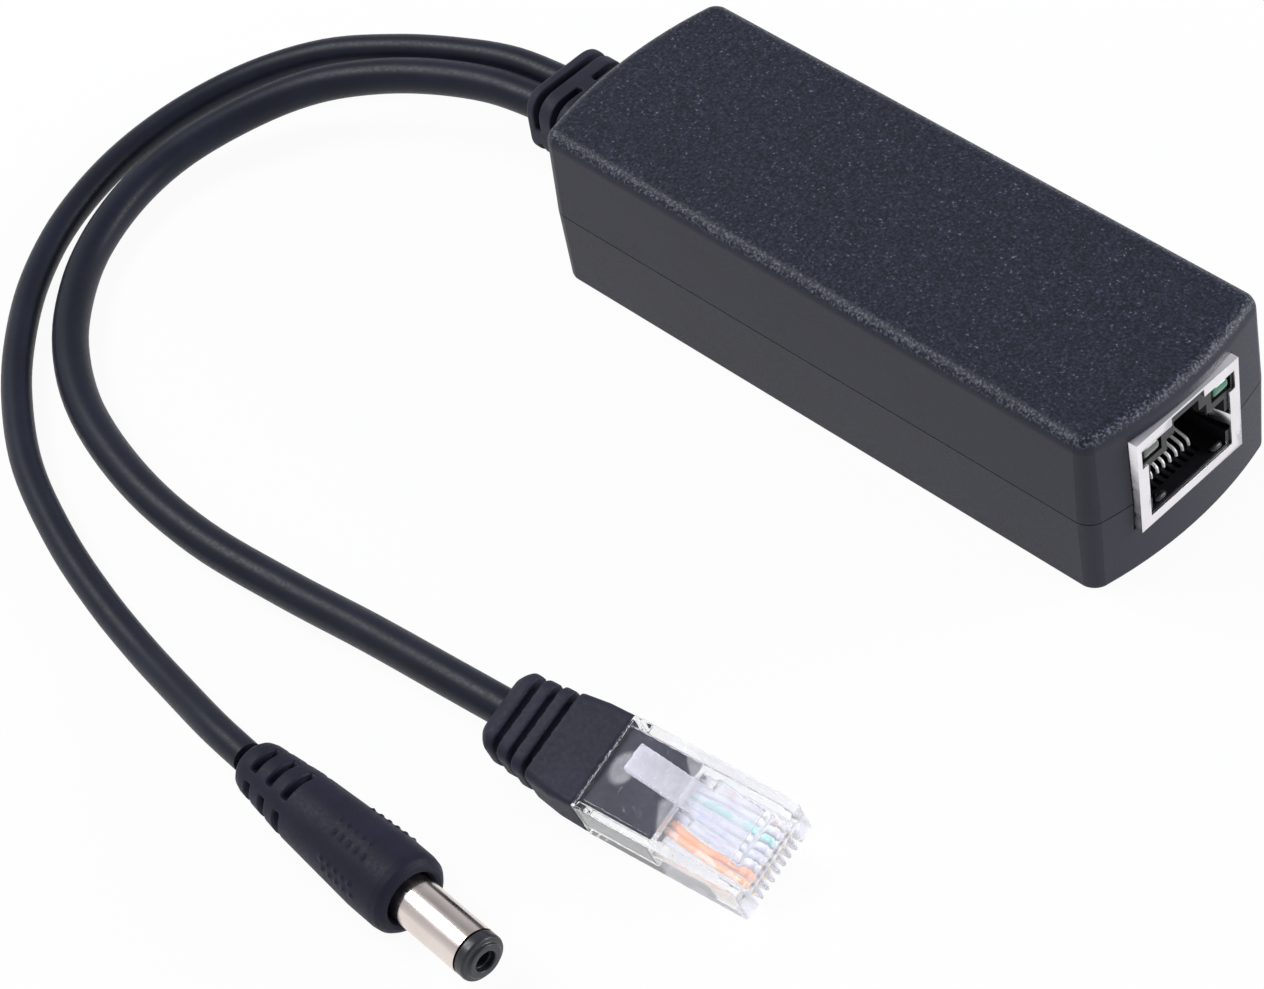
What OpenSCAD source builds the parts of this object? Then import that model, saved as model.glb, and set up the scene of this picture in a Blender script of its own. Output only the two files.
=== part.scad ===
// A power splitter for network cable: a bow-ended case with a shielded jack in
// one end, and a power lead and a data lead that leave the other end together.
// Millimetres. The case stands on z = 0, its length runs along X, the jack end
// is +X and the leads leave at -X. Both leads lie on the table on the -Y side.

/* [Case] */
// Length of the case over its two bowed ends
body_l = 84; // [80:1:110]
// Width of the case at the parting line
body_w = 29; // [28:0.5:40]
// Height of the case
body_h = 22.4; // [22:0.2:30]
// Height of the parting line above the base
parting_z = 10.4; // [9.6:0.1:12]
// Radius of the arc of each bowed end, seen from above
end_arc_r = 53.5625; // [50:0.5:120]
// Radius of the four upright corners
corner_r = 2.5; // [2.2:0.1:4]
// Radius of the rounded rim of the top face
top_rim_r = 1.8; // [1:0.1:2]
// Radius of the small rim of the base
base_rim_r = 0.6; // [0.3:0.1:1]
// Mould draft of the outer walls, away from the parting line, in degrees
draft = 1.4; // [0.5:0.1:2]
// Thickness of the walls, the floor and the roof
wall = 2; // [1.6:0.1:2.4]
// Hairline between the two halves, seen from outside
parting_gap = 0.12; // [0.08:0.02:0.2]
// Height of the tongue that locates the two halves
tongue_h = 1.2; // [0.8:0.1:1.8]
// Clearance round the tongue
tongue_fit = 0.15; // [0.1:0.05:0.3]

/* [Circuit board] */
// Thickness of the board
board_t = 1.6; // [1:0.1:2]
// Gap between the board's long edges and the walls
board_side_gap = 0.7; // [0.5:0.1:1.5]
// Height of the board's top face, where the jack stands
board_top = 6.5; // [6:0.1:7]
// Gap between the board and the case at each end
board_end_gap = 3; // [2.4:0.1:5]
// Diameter of the lower posts under the board
post_d = 4; // [3:0.2:4.4]
// Diameter of the upper posts that hold the board down
hold_d = 2.2; // [1.6:0.2:2.4]
// Distance of the posts' centres in from the board's long edges
post_inset = 1.4; // [1.2:0.1:1.6]

/* [Network jack] */
// Width of the shield
jack_w = 16.3; // [15.8:0.1:16.8]
// Distance from the top of the shield up to the top of the case
jack_cover = 2.8; // [2.7:0.1:3.2]
// Depth of the jack
jack_l = 21; // [18:0.5:24]
// Place of the jack's middle across the case
jack_y = -0.6; // [-1:0.1:1]
// How far the shield stands proud of the bowed end
jack_proud = 0.2; // [0.1:0.1:0.6]
// Clearance between the shield and the case
jack_fit = 0.15; // [0.1:0.05:0.3]
// Thickness of the shield's sheet
sheet = 0.3; // [0.2:0.05:0.4]
// Width of the socket for the plug
socket_w = 11.9; // [11.8:0.05:12.1]
// Height of the insulator above the socket, with the sheet
socket_roof = 4.7; // [4.6:0.05:4.8]
// Depth of the socket
socket_d = 12.8; // [11:0.2:14]
// Floor of the socket above the board
socket_floor = 1.5; // [1.3:0.1:1.7]
// Width of the window's lower part in the shield
window_w = 13.1; // [12.6:0.1:13.2]
// Width of the window's upper part, past the two lamps
lamp_window_w = 14.9; // [14.4:0.1:15]
// Height of the window's upper part
lamp_window_h = 2.6; // [2.2:0.1:2.8]
// Width of the latch notch in the shield's upper edge
notch_w = 5.2; // [4.8:0.1:6]
// Height of the band of metal above the window
top_band = 1.4; // [1.2:0.1:1.6]
// Number of spring contacts
contact_count = 8; // [8:1:8]
// Spacing of the contacts, in the jack and in the plug
contact_pitch = 1.02; // [1:0.01:1.04]
// Width of one spring contact
contact_w = 0.36; // [0.3:0.02:0.42]
// How far the springs rise above the socket's floor
contact_rise = 2.5; // [2:0.1:2.6]

/* [Strain relief] */
// Length of the strain relief outside the case
relief_l = 11; // [9:0.2:14]
// Width of the strain relief
relief_w = 12.3; // [11.6:0.1:14]
// Height of the strain relief
relief_h = 9; // [8:0.1:10]
// Corner radius of the strain relief
relief_r = 2.7; // [2:0.1:3.4]
// Width of each flexing slot
relief_slot = 0.9; // [0.6:0.1:1.1]
// Thickness of the outermost rib
relief_first = 1.6; // [1.2:0.1:2]
// Thickness of the other ribs
relief_rib = 1.9; // [1.5:0.1:2.1]
// Depth of the flexing slots
relief_slot_d = 1.6; // [1:0.1:1.9]
// Width of the webs that bridge the slots
relief_web = 2; // [1.4:0.1:2.6]
// How much smaller the neck in the wall is, on each side
relief_neck = 1.3; // [1:0.1:1.6]
// Clearance between the neck and the case
relief_fit = 0.1; // [0.05:0.05:0.2]
// Thickness of the flange inside the wall
relief_flange = 1.5; // [1.2:0.1:2]

/* [Leads] */
// Diameter of the power lead
dc_cord_d = 3.6; // [3.2:0.1:3.9]
// Diameter of the data lead
data_cord_d = 4.3; // [4:0.1:4.4]

/* [Power plug] */
// Length of the moulded grip
grip_l = 27.8; // [24:0.2:32]
// Largest radius of the grip, near its front
grip_r = 4.65; // [4.2:0.05:4.8]
// Radius of the grip just past its rear cap
grip_rear_r = 3.1; // [2.8:0.05:3.4]
// Rounding of the grip's front edge
grip_edge = 1; // [0.6:0.1:1.4]
// Width of each strain slot in the grip
grip_slot = 0.8; // [0.6:0.1:1]
// Spacing of the strain slots
grip_slot_pitch = 2.55; // [2.2:0.05:2.8]
// Outside radius of the metal barrel
barrel_r = 2.75; // [2.7:0.05:2.8]
// Thickness of the barrel's wall
barrel_t = 0.35; // [0.3:0.05:0.45]
// Length of bare metal in front of the grip
barrel_l = 9.1; // [8.5:0.1:10]
// Length of the black insulating tip
tip_l = 1.9; // [1.4:0.1:2.2]
// Inside radius of the centre contact
bore_r = 1.05; // [1:0.05:1.25]
// Wall of the centre contact
bore_t = 0.2; // [0.15:0.05:0.25]
// How deep the barrel is set in the grip
barrel_seat = 4; // [3:0.5:6]
// How much thinner the barrel's neck is, where it comes out of the grip
neck_step = 0.1; // [0.05:0.05:0.2]
// How much thinner again the neck is at its rear end
neck_taper = 0.1; // [0.05:0.05:0.15]
// Length of the neck that is bare in front of the grip
neck_l = 0.4; // [0.3:0.1:0.8]
// Clearance between the pieces of the power plug
plug_fit = 0.03; // [0.02:0.01:0.06]

/* [Data plug] */
// Length of the clear housing
housing_l = 20.9; // [20:0.1:21.5]
// Width of the clear housing
housing_w = 11.7; // [11.6:0.02:11.76]
// Height of the clear housing without its latch
housing_h = 6.6; // [6.5:0.05:6.7]
// Width of the latch at its free end
latch_w = 3.25; // [3:0.05:3.6]
// Width of the latch's shoulders
latch_shoulder_w = 6; // [5.6:0.1:6.1]
// Thickness of the latch
latch_t = 1.1; // [0.8:0.1:1.3]
// Height of the latch's free end above the housing
latch_lift = 6; // [4.5:0.1:7]
// Distance of the latch's free end from the back of the housing
latch_end = 6.4; // [5:0.1:8]
// Length of the boot behind the housing
boot_l = 13.9; // [12:0.1:16]
// Length of the boot's smooth front part
boot_front_l = 6.8; // [6:0.1:7.4]
// Width of the boot's rearmost rib
boot_rear_w = 9.2; // [8:0.1:10]
// Height of the boot's rearmost rib
boot_rear_h = 6.1; // [5:0.1:6.4]
// Width of each groove between the boot's ribs
boot_groove = 0.8; // [0.5:0.1:0.9]
// Spacing of the boot's ribs
boot_pitch = 2.2; // [2:0.05:2.4]
// How far the boot's rear is bent sideways as it lies
boot_bend = 0.4; // [0:0.05:1]
// How far off the boot's middle the lead enters it
boot_entry = 0.25; // [0:0.05:0.4]
// Clearance round the boot's tongue inside the housing
tongue_gap = 0.1; // [0.05:0.05:0.2]
// Diameter of one insulated wire in the plug
wire_d = 0.92; // [0.8:0.02:0.98]

/* [Hidden] */

$fn = 48;
eps = 0.01;

// Colours of the photographed object
case_grey = [0.17, 0.18, 0.21];
cord_black = [0.09, 0.09, 0.11];
nickel = [0.78, 0.76, 0.76];
gold = [0.85, 0.68, 0.3];
clear = [0.8, 0.85, 0.9, 0.45];
board_green = [0.1, 0.35, 0.2];

// Plan of the bowed ends: each end is an arc whose centre lies on the X axis
end_bow = end_arc_r - sqrt(end_arc_r * end_arc_r - body_w * body_w / 4);
end_cx = body_l / 2 - end_arc_r;
// Centre of the fillet that joins the side wall to the end arc
corner_cy = body_w / 2 - corner_r;
corner_cx = end_cx + sqrt(pow(end_arc_r - corner_r, 2) - corner_cy * corner_cy);

// How far the drafted wall has leaned in at height z, above the parting line
// (up = 1) or below it (up = -1)
function lean(z, up = 1) = up * (z - parting_z) * tan(draft);

// Jack: front plane, bottom and the heights that its window and socket share
jack_x = body_l / 2 + jack_proud;
jack_z = board_top;
jack_h = body_h - jack_cover - jack_z;
socket_h = jack_h - socket_floor - socket_roof;
window_top = jack_z + jack_h - top_band;
lamp_window_z = window_top - lamp_window_h;
socket_z = jack_z + socket_floor;
housing_side = (jack_w - 2 * sheet) / 2;
jack_inner_l = jack_l - sheet;

// Board
board_w = body_w - 2 * (wall + board_side_gap);
board_x0 = -body_l / 2 + wall + board_end_gap;
board_x1 = body_l / 2 - wall - board_end_gap + 1;
post_x = [board_x0 + 3, jack_x - jack_l + 8];
post_y = board_w / 2 - post_inset;

// Strain relief: centre height on the parting line, outer face and inner face
relief_z = parting_z;
relief_x = -body_l / 2 - relief_l;
flange_x = -body_l / 2 + wall + pow(relief_w / 2, 2) / (2 * end_arc_r)
    + lean(relief_z + relief_h / 2) + relief_fit;
flange_end = flange_x + relief_flange;

// Where the leads leave the strain relief, and the height they leave at
dc_exit_y = 2;
data_exit_y = -2.3;

// Power plug: rear end of its axis on the table, its heading, and its pieces
dc_plug_at = [-11.5, -88.8, 4.8];
dc_plug_heading = -3.8;
barrel_x = grip_l + barrel_l;
neck_r = barrel_r - neck_step;
neck_end = grip_l + neck_l;
neck_start = grip_l - barrel_seat;
grip_shoulder_x = 9;
grip_shoulder_r = (grip_rear_r + grip_r) / 2;

// Data plug: middle of the housing's lower rear edge, its roll and its heading
data_plug_at = [20, -65.5, 1.7];
data_plug_roll = 15;
data_plug_heading = 6;
wire_z = 3.6;
comb_l = 4.6;
comb_slot = 0.62;
boot_axis_z = 3.5;
tongue_l = 9.4;
tongue_w = 9.6;
tongue_height = 4.6;
tongue_z = 1;
wire_slot_x = tongue_l + 0.3;
wire_end = housing_l - 1.2;

// Route of the power lead's centre line, from the strain relief to its plug
dc_route = [
    [relief_x, dc_exit_y, relief_z], [-62, 1, 10.1], [-70, -1.2, 9],
    [-78, -4.4, 7.6], [-86, -9, 5.9], [-92, -16, 4.2], [-95.5, -25, 2.8],
    [-96, -35, 2], [-93.3, -45.3, 1.9], [-88.5, -54.3, 1.9], [-82.2, -62, 1.9],
    [-74.9, -68.6, 1.9], [-65.5, -74.8, 1.9], [-54, -79.6, 1.9],
    [-43.5, -82.7, 1.9], [-34, -84.8, 2.1], [-25.5, -86.5, 3.1],
    [-18, -88, 4.3], dc_plug_at
];

// Route of the data lead's centre line, from the strain relief to its boot
data_end = data_plug_point([-boot_l, boot_bend + boot_entry, boot_axis_z]);
data_route = [
    [relief_x, data_exit_y, relief_z], [-61, -3.5, 10.1], [-69, -6.1, 9.2],
    [-76, -9.6, 8], [-82, -14.2, 6.6], [-86.3, -20.5, 5.2], [-89.3, -29, 3.8],
    [-89.6, -37, 2.8], [-87.2, -45.3, 2.3], [-82.8, -52.5, 2.2],
    [-76, -59.4, 2.2], [-66.5, -65, 2.2], [-54.1, -68.6, 2.2],
    [-41.5, -69.8, 2.2], [-28, -69, 2.4], [-15, -68.2, 3.6], [-3, -67.8, 4.8],
    data_end
];

// Plain helpers

// A rectangle with round corners, made of squares and circles
module round_rect(w, h, r) {
    square([w - 2 * r, h], center = true);
    square([w, h - 2 * r], center = true);
    for (x = [-1, 1], y = [-1, 1])
        translate([x * (w / 2 - r), y * (h / 2 - r)]) circle(r);
}

// A round-cornered bar along X, w wide and h high
module bar_x(x0, x1, w, h, r) {
    translate([x0, 0, 0]) rotate([90, 0, 90]) linear_extrude(x1 - x0) round_rect(w, h, r);
}

// Lays a shape that stands on Z along +X
module along_x() {
    rotate([0, 90, 0]) children();
}

// A box given by its two corners
module block(low, high) {
    translate(low) cube(high - low);
}

// Case

// Half section of a drafted wall with its rim: how far out the wall stands at
// each height between start_z and end_z, for a wall that is "reach" out at the
// parting line. A rim radius of 0 leaves a sharp edge.
module wall_section(reach, start_z, end_z, rim_r) {
    up = end_z > start_z ? 1 : -1;
    rim_z = end_z - up * rim_r;
    rim_x = reach - lean(rim_z, up) - rim_r / cos(draft);
    foot = [[0, start_z], [reach - lean(start_z, up), start_z]];
    if (rim_r > 0) {
        tangent = [rim_x + rim_r * cos(draft), rim_z + up * rim_r * sin(draft)];
        polygon(concat(foot, [tangent, [rim_x, rim_z], [rim_x, end_z], [0, end_z]]));
        translate([rim_x, rim_z]) intersection() {
            circle(rim_r);
            translate([0, up > 0 ? 0 : -rim_r]) square(rim_r);
        }
    } else {
        polygon(concat(foot, [[reach - lean(end_z, up), end_z], [0, end_z]]));
    }
}

// The bow-ended form with sharp upright corners, "inset" inside the outer wall
module bowed_form(inset, start_z, end_z, rim_r) {
    intersection() {
        rotate([90, 0, 90]) linear_extrude(body_l, center = true) {
            wall_section(body_w / 2 - inset, start_z, end_z, rim_r);
            mirror([1, 0]) wall_section(body_w / 2 - inset, start_z, end_z, rim_r);
        }
        translate([end_cx, 0, 0]) rotate_extrude($fn = 192)
            wall_section(end_arc_r - inset, start_z, end_z, rim_r);
        translate([-end_cx, 0, 0]) rotate_extrude($fn = 192)
            wall_section(end_arc_r - inset, start_z, end_z, rim_r);
    }
}

// What the upright corner fillet takes off the bowed form at the +X +Y corner.
// The fillet's round stands a hair outside its tangent lines, so that it meets
// the walls at a clean edge.
corner_hair = 0.02;

module corner_waste(start_z, end_z, rim_r) {
    away = corner_r * 2;
    ray = [corner_cx - end_cx, corner_cy] / (end_arc_r - corner_r);
    difference() {
        translate([0, 0, min(start_z, end_z) - 1])
            linear_extrude(abs(end_z - start_z) + 2)
                polygon([
                    [corner_cx, corner_cy],
                    [corner_cx + ray[0] * away, corner_cy + ray[1] * away],
                    [corner_cx + away, corner_cy + away],
                    [corner_cx, corner_cy + away]
                ]);
        translate([corner_cx, corner_cy, 0]) rotate_extrude()
            wall_section(corner_r + corner_hair, start_z, end_z, rim_r + corner_hair / 2);
    }
}

// One half of the case as a solid, with its filleted corners
module case_solid(start_z, end_z, rim_r) {
    difference() {
        bowed_form(0, start_z, end_z, rim_r);
        for (mx = [0, 1], my = [0, 1])
            mirror([mx, 0, 0]) mirror([0, my, 0]) corner_waste(start_z, end_z, rim_r);
    }
}

// The openings that both halves share: the jack's and the strain relief's
module case_openings() {
    block([body_l / 2 - 2 * wall - 2, jack_y - jack_w / 2 - jack_fit, jack_z - jack_fit],
          [body_l / 2 + 1, jack_y + jack_w / 2 + jack_fit, jack_z + jack_h + jack_fit]);
    translate([0, 0, relief_z])
        bar_x(-body_l / 2 - 1, -body_l / 2 + 2 * wall + 1,
              relief_w - 2 * relief_neck + 2 * relief_fit,
              relief_h - 2 * relief_neck + 2 * relief_fit, relief_r - relief_neck / 2);
}

module upper_case() {
    color(case_grey) {
        difference() {
            case_solid(parting_z + parting_gap, body_h, top_rim_r);
            bowed_form(wall, parting_z - 1, body_h - wall, 0);
            bowed_form(wall / 2, parting_z - 1, parting_z + tongue_h, 0);
            case_openings();
        }
        for (x = post_x, y = [-post_y, post_y])
            translate([x, y, board_top]) cylinder(d = hold_d, h = body_h - wall - board_top + 0.5);
    }
}

// The lower half's solid is the same form, mirrored about the parting line
module lower_solid() {
    translate([0, 0, 2 * parting_z]) mirror([0, 0, 1])
        case_solid(parting_z, 2 * parting_z, base_rim_r);
}

module lower_case() {
    color(case_grey) {
        difference() {
            union() {
                difference() {
                    lower_solid();
                    bowed_form(wall, parting_z + 1, wall, 0);
                }
                difference() {
                    bowed_form(wall / 2 + tongue_fit, parting_z - 0.5, parting_z + tongue_h, 0);
                    bowed_form(wall, parting_z - 1, parting_z + tongue_h + 1, 0);
                }
            }
            case_openings();
        }
        for (x = post_x, y = [-post_y, post_y])
            translate([x, y, wall - 0.5]) cylinder(d = post_d, h = board_top - board_t - wall + 0.5);
    }
}

// Strain relief: one rubber moulding with flexing slots, a neck that the two
// halves clamp, and a flange inside the wall

// A slot round the strain relief, bridged by webs at its two sides or at its
// top and bottom
module relief_slot_cut(x, webs_at_sides) {
    difference() {
        bar_x(x, x + relief_slot, relief_w + 1, relief_h + 1, relief_r);
        bar_x(x - 1, x + relief_slot + 1, relief_w - 2 * relief_slot_d,
              relief_h - 2 * relief_slot_d, relief_r - relief_slot_d / 2);
        if (webs_at_sides)
            block([x - 1, -relief_w, -relief_web], [x + relief_slot + 1, relief_w, 0]);
        else {
            block([x - 1, -relief_web / 2, -relief_h], [x + relief_slot + 1, relief_web / 2, relief_h]);
            block([x - 1, -relief_w, -relief_web], [x + relief_slot + 1, relief_w, -relief_web / 4]);
        }
    }
}

module strain_relief() {
    slot_1 = relief_x + relief_first;
    slot_pitch = relief_slot + relief_rib;
    edge = 0.6;
    color(cord_black) translate([0, 0, relief_z]) {
        difference() {
            union() {
                hull() {
                    bar_x(relief_x, relief_x + eps, relief_w - 2 * edge, relief_h - 2 * edge,
                          relief_r - edge);
                    bar_x(relief_x + edge, relief_x + 2 * edge, relief_w, relief_h, relief_r);
                }
                bar_x(relief_x + edge, -body_l / 2 + end_bow, relief_w, relief_h, relief_r);
            }
            for (i = [0:2]) relief_slot_cut(slot_1 + i * slot_pitch, i % 2 == 0);
            translate([-end_cx, 0, -relief_h]) cylinder(r = end_arc_r + relief_fit, h = 2 * relief_h, $fn = 192);
        }
        bar_x(-body_l / 2 - 1, flange_x + eps, relief_w - 2 * relief_neck,
              relief_h - 2 * relief_neck, relief_r - relief_neck / 2);
        bar_x(flange_x, flange_end, relief_w, relief_h, relief_r);
    }
}

// Circuit board and what stands on it

module circuit_board() {
    slot_l = 2;
    slot_w = sheet + 0.3;
    color(board_green) difference() {
        block([board_x0, -board_w / 2, board_top - board_t], [board_x1, board_w / 2, board_top]);
        for (side = [-1, 1])
            translate([shield_tab_x, jack_y + side * (jack_w - sheet) / 2, board_top])
                cube([slot_l, slot_w, 3 * board_t], center = true);
    }
}

shield_tab_x = jack_x - jack_l * 3 / 7;

// The stamped shield: a folded box, open below, with the stepped window in its
// front, a spring finger bent in at each side, and two tabs through the board
module jack_shield() {
    tab_w = 1.5;
    y0 = jack_y - jack_w / 2;
    y1 = jack_y + jack_w / 2;
    top = jack_z + jack_h;
    finger_z = socket_z + socket_h / 2;
    color(nickel) {
        difference() {
            block([jack_x - jack_l, y0, jack_z], [jack_x, y1, top]);
            block([jack_x - jack_l + sheet, y0 + sheet, jack_z - 1], [jack_x - sheet, y1 - sheet, top - sheet]);
            translate([jack_x, jack_y, 0]) shield_window();
        }
        for (side = [-1, 1])
            translate([shield_tab_x, jack_y + side * (jack_w - sheet) / 2, jack_z - board_t / 2 - 0.3])
                cube([tab_w, sheet, board_t + 1], center = true);
        for (side = [-1, 1])
            translate([jack_x - sheet, jack_y + side * (window_w / 2 - eps), finger_z]) shield_finger(side);
    }
}

// The window through the shield's front, with the latch notch above it
module shield_window() {
    depth = 2 * sheet;
    block([-depth, -window_w / 2, jack_floor_edge], [1, window_w / 2, lamp_window_z + 1]);
    block([-depth, -lamp_window_w / 2, lamp_window_z], [1, lamp_window_w / 2, window_top]);
    block([-depth, -notch_w / 2, window_top - 1], [1, notch_w / 2, jack_z + jack_h - sheet]);
}

jack_floor_edge = socket_z - 0.2;

// A narrow tongue of sheet that runs back from the window's edge and inwards
module shield_finger(side) {
    finger_w = 1.7;
    finger_l = 4.6;
    inward = (window_w - socket_w) / 2 + 0.35;
    mirror([0, side > 0 ? 0 : 1, 0]) translate([0, 0, -finger_w / 2]) linear_extrude(finger_w)
        polygon([
            [0, sheet], [sheet, sheet], [sheet, 0],
            [-finger_l, -inward], [-finger_l, sheet - inward], [-0.2, sheet]
        ]);
}

// The black insulator: socket, latch steps, lamp pockets, contact grooves and a
// relief at each side for the shield's finger
module jack_housing() {
    gap = 0.05;
    front = jack_x - sheet - gap;
    back = jack_x - jack_inner_l + gap;
    half = housing_side - gap;
    top = jack_z + jack_h - sheet - gap;
    latch_1_w = 6.4;
    latch_2_w = 4;
    color([0.05, 0.05, 0.06]) difference() {
        block([back, jack_y - half, jack_z], [front, jack_y + half, top]);
        translate([front, jack_y, 0]) {
            block([-socket_d, -socket_w / 2, socket_z], [1, socket_w / 2, socket_z + socket_h]);
            block([-socket_d, -latch_1_w / 2, socket_z], [1, latch_1_w / 2, socket_z + socket_h + 1.5]);
            block([-socket_d + 3, -latch_2_w / 2, socket_z], [1, latch_2_w / 2, socket_z + socket_h + 3.1]);
            for (side = [-1, 1]) {
                lamp_pocket(side, 0);
                translate([0, side * (socket_w / 2 - 0.5), finger_relief_z])
                    block([-6, side > 0 ? 0 : -1.5, 0], [1, side > 0 ? 1.5 : 0, 3]);
            }
        }
        for (i = [1:contact_count]) contact_groove(i);
    }
}

finger_relief_z = socket_z + socket_h / 2 - 1.5;

// Lamps: moulded light blocks with a round nose, in pockets above the socket
lamp_w = 3.1;
lamp_h = 2.1;
lamp_l = 6;
lamp_y = 5.55;
lamp_z = lamp_window_z + 0.2;

module lamp_pocket(side, shrink) {
    y = side * lamp_y;
    block([-lamp_l + shrink, y - lamp_w / 2 + shrink, lamp_z + shrink],
          [1, y + lamp_w / 2 - shrink, lamp_z + lamp_h - shrink]);
}

module lamp(side) {
    fit = 0.05;
    nose_r = lamp_h / 2 - fit;
    nose_x = jack_x - sheet - 0.9;
    y = jack_y + side * lamp_y;
    z = lamp_z + lamp_h / 2;
    block([jack_x - sheet - lamp_l, y - lamp_w / 2 + fit, lamp_z + fit],
          [nose_x, y + lamp_w / 2 - fit, lamp_z + lamp_h - fit]);
    translate([nose_x, y, z]) rotate([90, 0, 0])
        cylinder(r = nose_r, h = lamp_w - 2 * fit - 0.6, center = true);
}

module jack_lamp_left() {
    color([0.75, 0.78, 0.75, 0.7]) lamp(-1);
}

module jack_lamp_right() {
    color([0.2, 0.6, 0.35, 0.9]) lamp(1);
}

// Spring contacts: each is a flat wire that lies in a groove of the floor,
// folds back over the floor's front and rises towards the rear
groove_w = contact_w + 0.2;
groove_d = 0.6;
contact_front = jack_x - sheet - 2.2;
contact_tail = jack_x - jack_l + sheet + 0.3;
contact_t = 0.34;
function contact_y(i) = jack_y + (i - (contact_count + 1) / 2) * contact_pitch;

module contact_groove(i) {
    block([jack_x - jack_l - 1, contact_y(i) - groove_w / 2, socket_z - groove_d],
          [contact_front + 0.5, contact_y(i) + groove_w / 2, socket_z + eps]);
    block([jack_x - jack_l - 1, contact_y(i) - groove_w / 2, jack_z - 1],
          [contact_tail + contact_t + 0.1, contact_y(i) + groove_w / 2, socket_z]);
}

module jack_contact(i) {
    low = socket_z - groove_d;
    fold_r = contact_t + 0.1;
    tip_x = contact_front - 8.4;
    tip_z = socket_z + contact_rise - contact_t;
    color(gold) translate([0, contact_y(i) + contact_w / 2, 0]) rotate([90, 0, 0]) linear_extrude(contact_w) {
        translate([contact_tail, low]) square([contact_front - contact_tail, contact_t]);
        translate([contact_tail, board_top]) square([contact_t, low - board_top + eps]);
        translate([contact_front, low + fold_r]) intersection() {
            difference() {
                circle(fold_r);
                circle(fold_r - contact_t);
            }
            translate([0, -fold_r]) square([fold_r, 2 * fold_r]);
        }
        polygon([
            [contact_front, low + 2 * fold_r - contact_t], [contact_front, low + 2 * fold_r],
            [tip_x, tip_z + contact_t], [tip_x, tip_z]
        ]);
    }
}

module jack_contact_1() { jack_contact(1); }
module jack_contact_2() { jack_contact(2); }
module jack_contact_3() { jack_contact(3); }
module jack_contact_4() { jack_contact(4); }
module jack_contact_5() { jack_contact(5); }
module jack_contact_6() { jack_contact(6); }
module jack_contact_7() { jack_contact(7); }
module jack_contact_8() { jack_contact(8); }

// Parts on the board, placed from the board's top face. Each keeps its share of
// the bay behind the jack: its place along the bay and across the board, and
// its size, are given for a bay of the length, width and headroom in bay_drawn.
bay_drawn = [58.2, 23.6, 13.9];
bay_scale = [
    (jack_x - jack_l - board_x0) / bay_drawn[0],
    board_w / bay_drawn[1],
    (body_h - wall - board_top) / bay_drawn[2]
];
part_scale = min(bay_scale[0], bay_scale[1], bay_scale[2]);
function bay_at(p) = [board_x0 + p[0] * bay_scale[0], p[1] * bay_scale[1], board_top];

// A surface package: body and a row of flat legs along two sides
module package(at, drawn, legs, drawn_pitch) {
    leg_l = 0.9 * part_scale;
    leg_t = 0.25;
    size = drawn * part_scale;
    leg_pitch = drawn_pitch * part_scale;
    translate(bay_at(at)) {
        translate([-size[0] / 2, -size[1] / 2, leg_t]) cube([size[0], size[1], size[2] - leg_t]);
        for (i = [1:legs], side = [-1, 1])
            translate([(i - (legs + 1) / 2) * leg_pitch - leg_pitch / 4, side * (size[1] / 2) - leg_l / 2, 0])
                cube([leg_pitch / 2, leg_l, 2 * leg_t]);
    }
}

module line_transformer() {
    color([0.12, 0.12, 0.13]) package([50.2, 0], [12.6, 15.2, 5.9], 8, 1.4);
}

module controller_chip() {
    color([0.1, 0.1, 0.11]) package([29.5, -8.4], [5, 4, 1.5], 4, 1.2);
}

module bridge_rectifier_1() {
    color([0.1, 0.1, 0.11]) package([22, 3.4], [4.8, 3.9, 1.7], 2, 2.6);
}

module bridge_rectifier_2() {
    color([0.1, 0.1, 0.11]) package([22, 8.8], [4.8, 3.9, 1.7], 2, 2.6);
}

module output_diode() {
    color([0.1, 0.1, 0.11]) package([39.2, -8.4], [6.8, 5, 2.3], 1, 4);
}

// A can capacitor: sleeve with a rolled groove near its foot
module can(at, drawn_d, drawn_h) {
    d = drawn_d * part_scale;
    groove_r = 0.6 * part_scale;
    translate(bay_at(at)) difference() {
        cylinder(d = d, h = drawn_h * part_scale);
        translate([0, 0, 1.6 * part_scale]) rotate_extrude()
            translate([d / 2 + groove_r / 2, 0]) circle(groove_r);
    }
}

module input_capacitor() {
    color([0.15, 0.17, 0.3]) can([12, 6], 8, 11.5);
}

module output_capacitor() {
    color([0.12, 0.12, 0.14]) can([12, -6], 8, 11.5);
}

// A drum choke: two flanges with the coil between them
module choke() {
    profile = [[0, 0], [3.9, 0], [3.9, 1], [3.4, 1.2], [3.4, 5], [3.9, 5.2], [3.9, 6.2], [0, 6.2]];
    color([0.3, 0.28, 0.27]) translate(bay_at([22, -6.4])) rotate_extrude() polygon(profile * part_scale);
}

// The power transformer: a two-piece core, and a wound bobbin round its centre
// leg that stands on the board on two rails
power_at = bay_at([32.5, 1.8]);
core_l = 13 * part_scale;
core_w = 7 * part_scale;
core_high = 9.8 * part_scale;
leg_d = 4.4 * part_scale;
core_t = 2.4 * part_scale;
bobbin_foot = 1.2 * part_scale;
winding_gap = 0.1;
winding_d = 8 * part_scale;

module power_core() {
    color([0.2, 0.2, 0.21]) translate(power_at + [0, 0, bobbin_foot]) {
        difference() {
            block([-core_l / 2, -core_w / 2, 0], [core_l / 2, core_w / 2, core_high]);
            block([-core_l / 2 + core_t, -core_w, core_t], [core_l / 2 - core_t, core_w, core_high - core_t]);
        }
        translate([0, 0, core_t - eps]) cylinder(d = leg_d, h = core_high - 2 * core_t + 2 * eps);
    }
}

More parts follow.
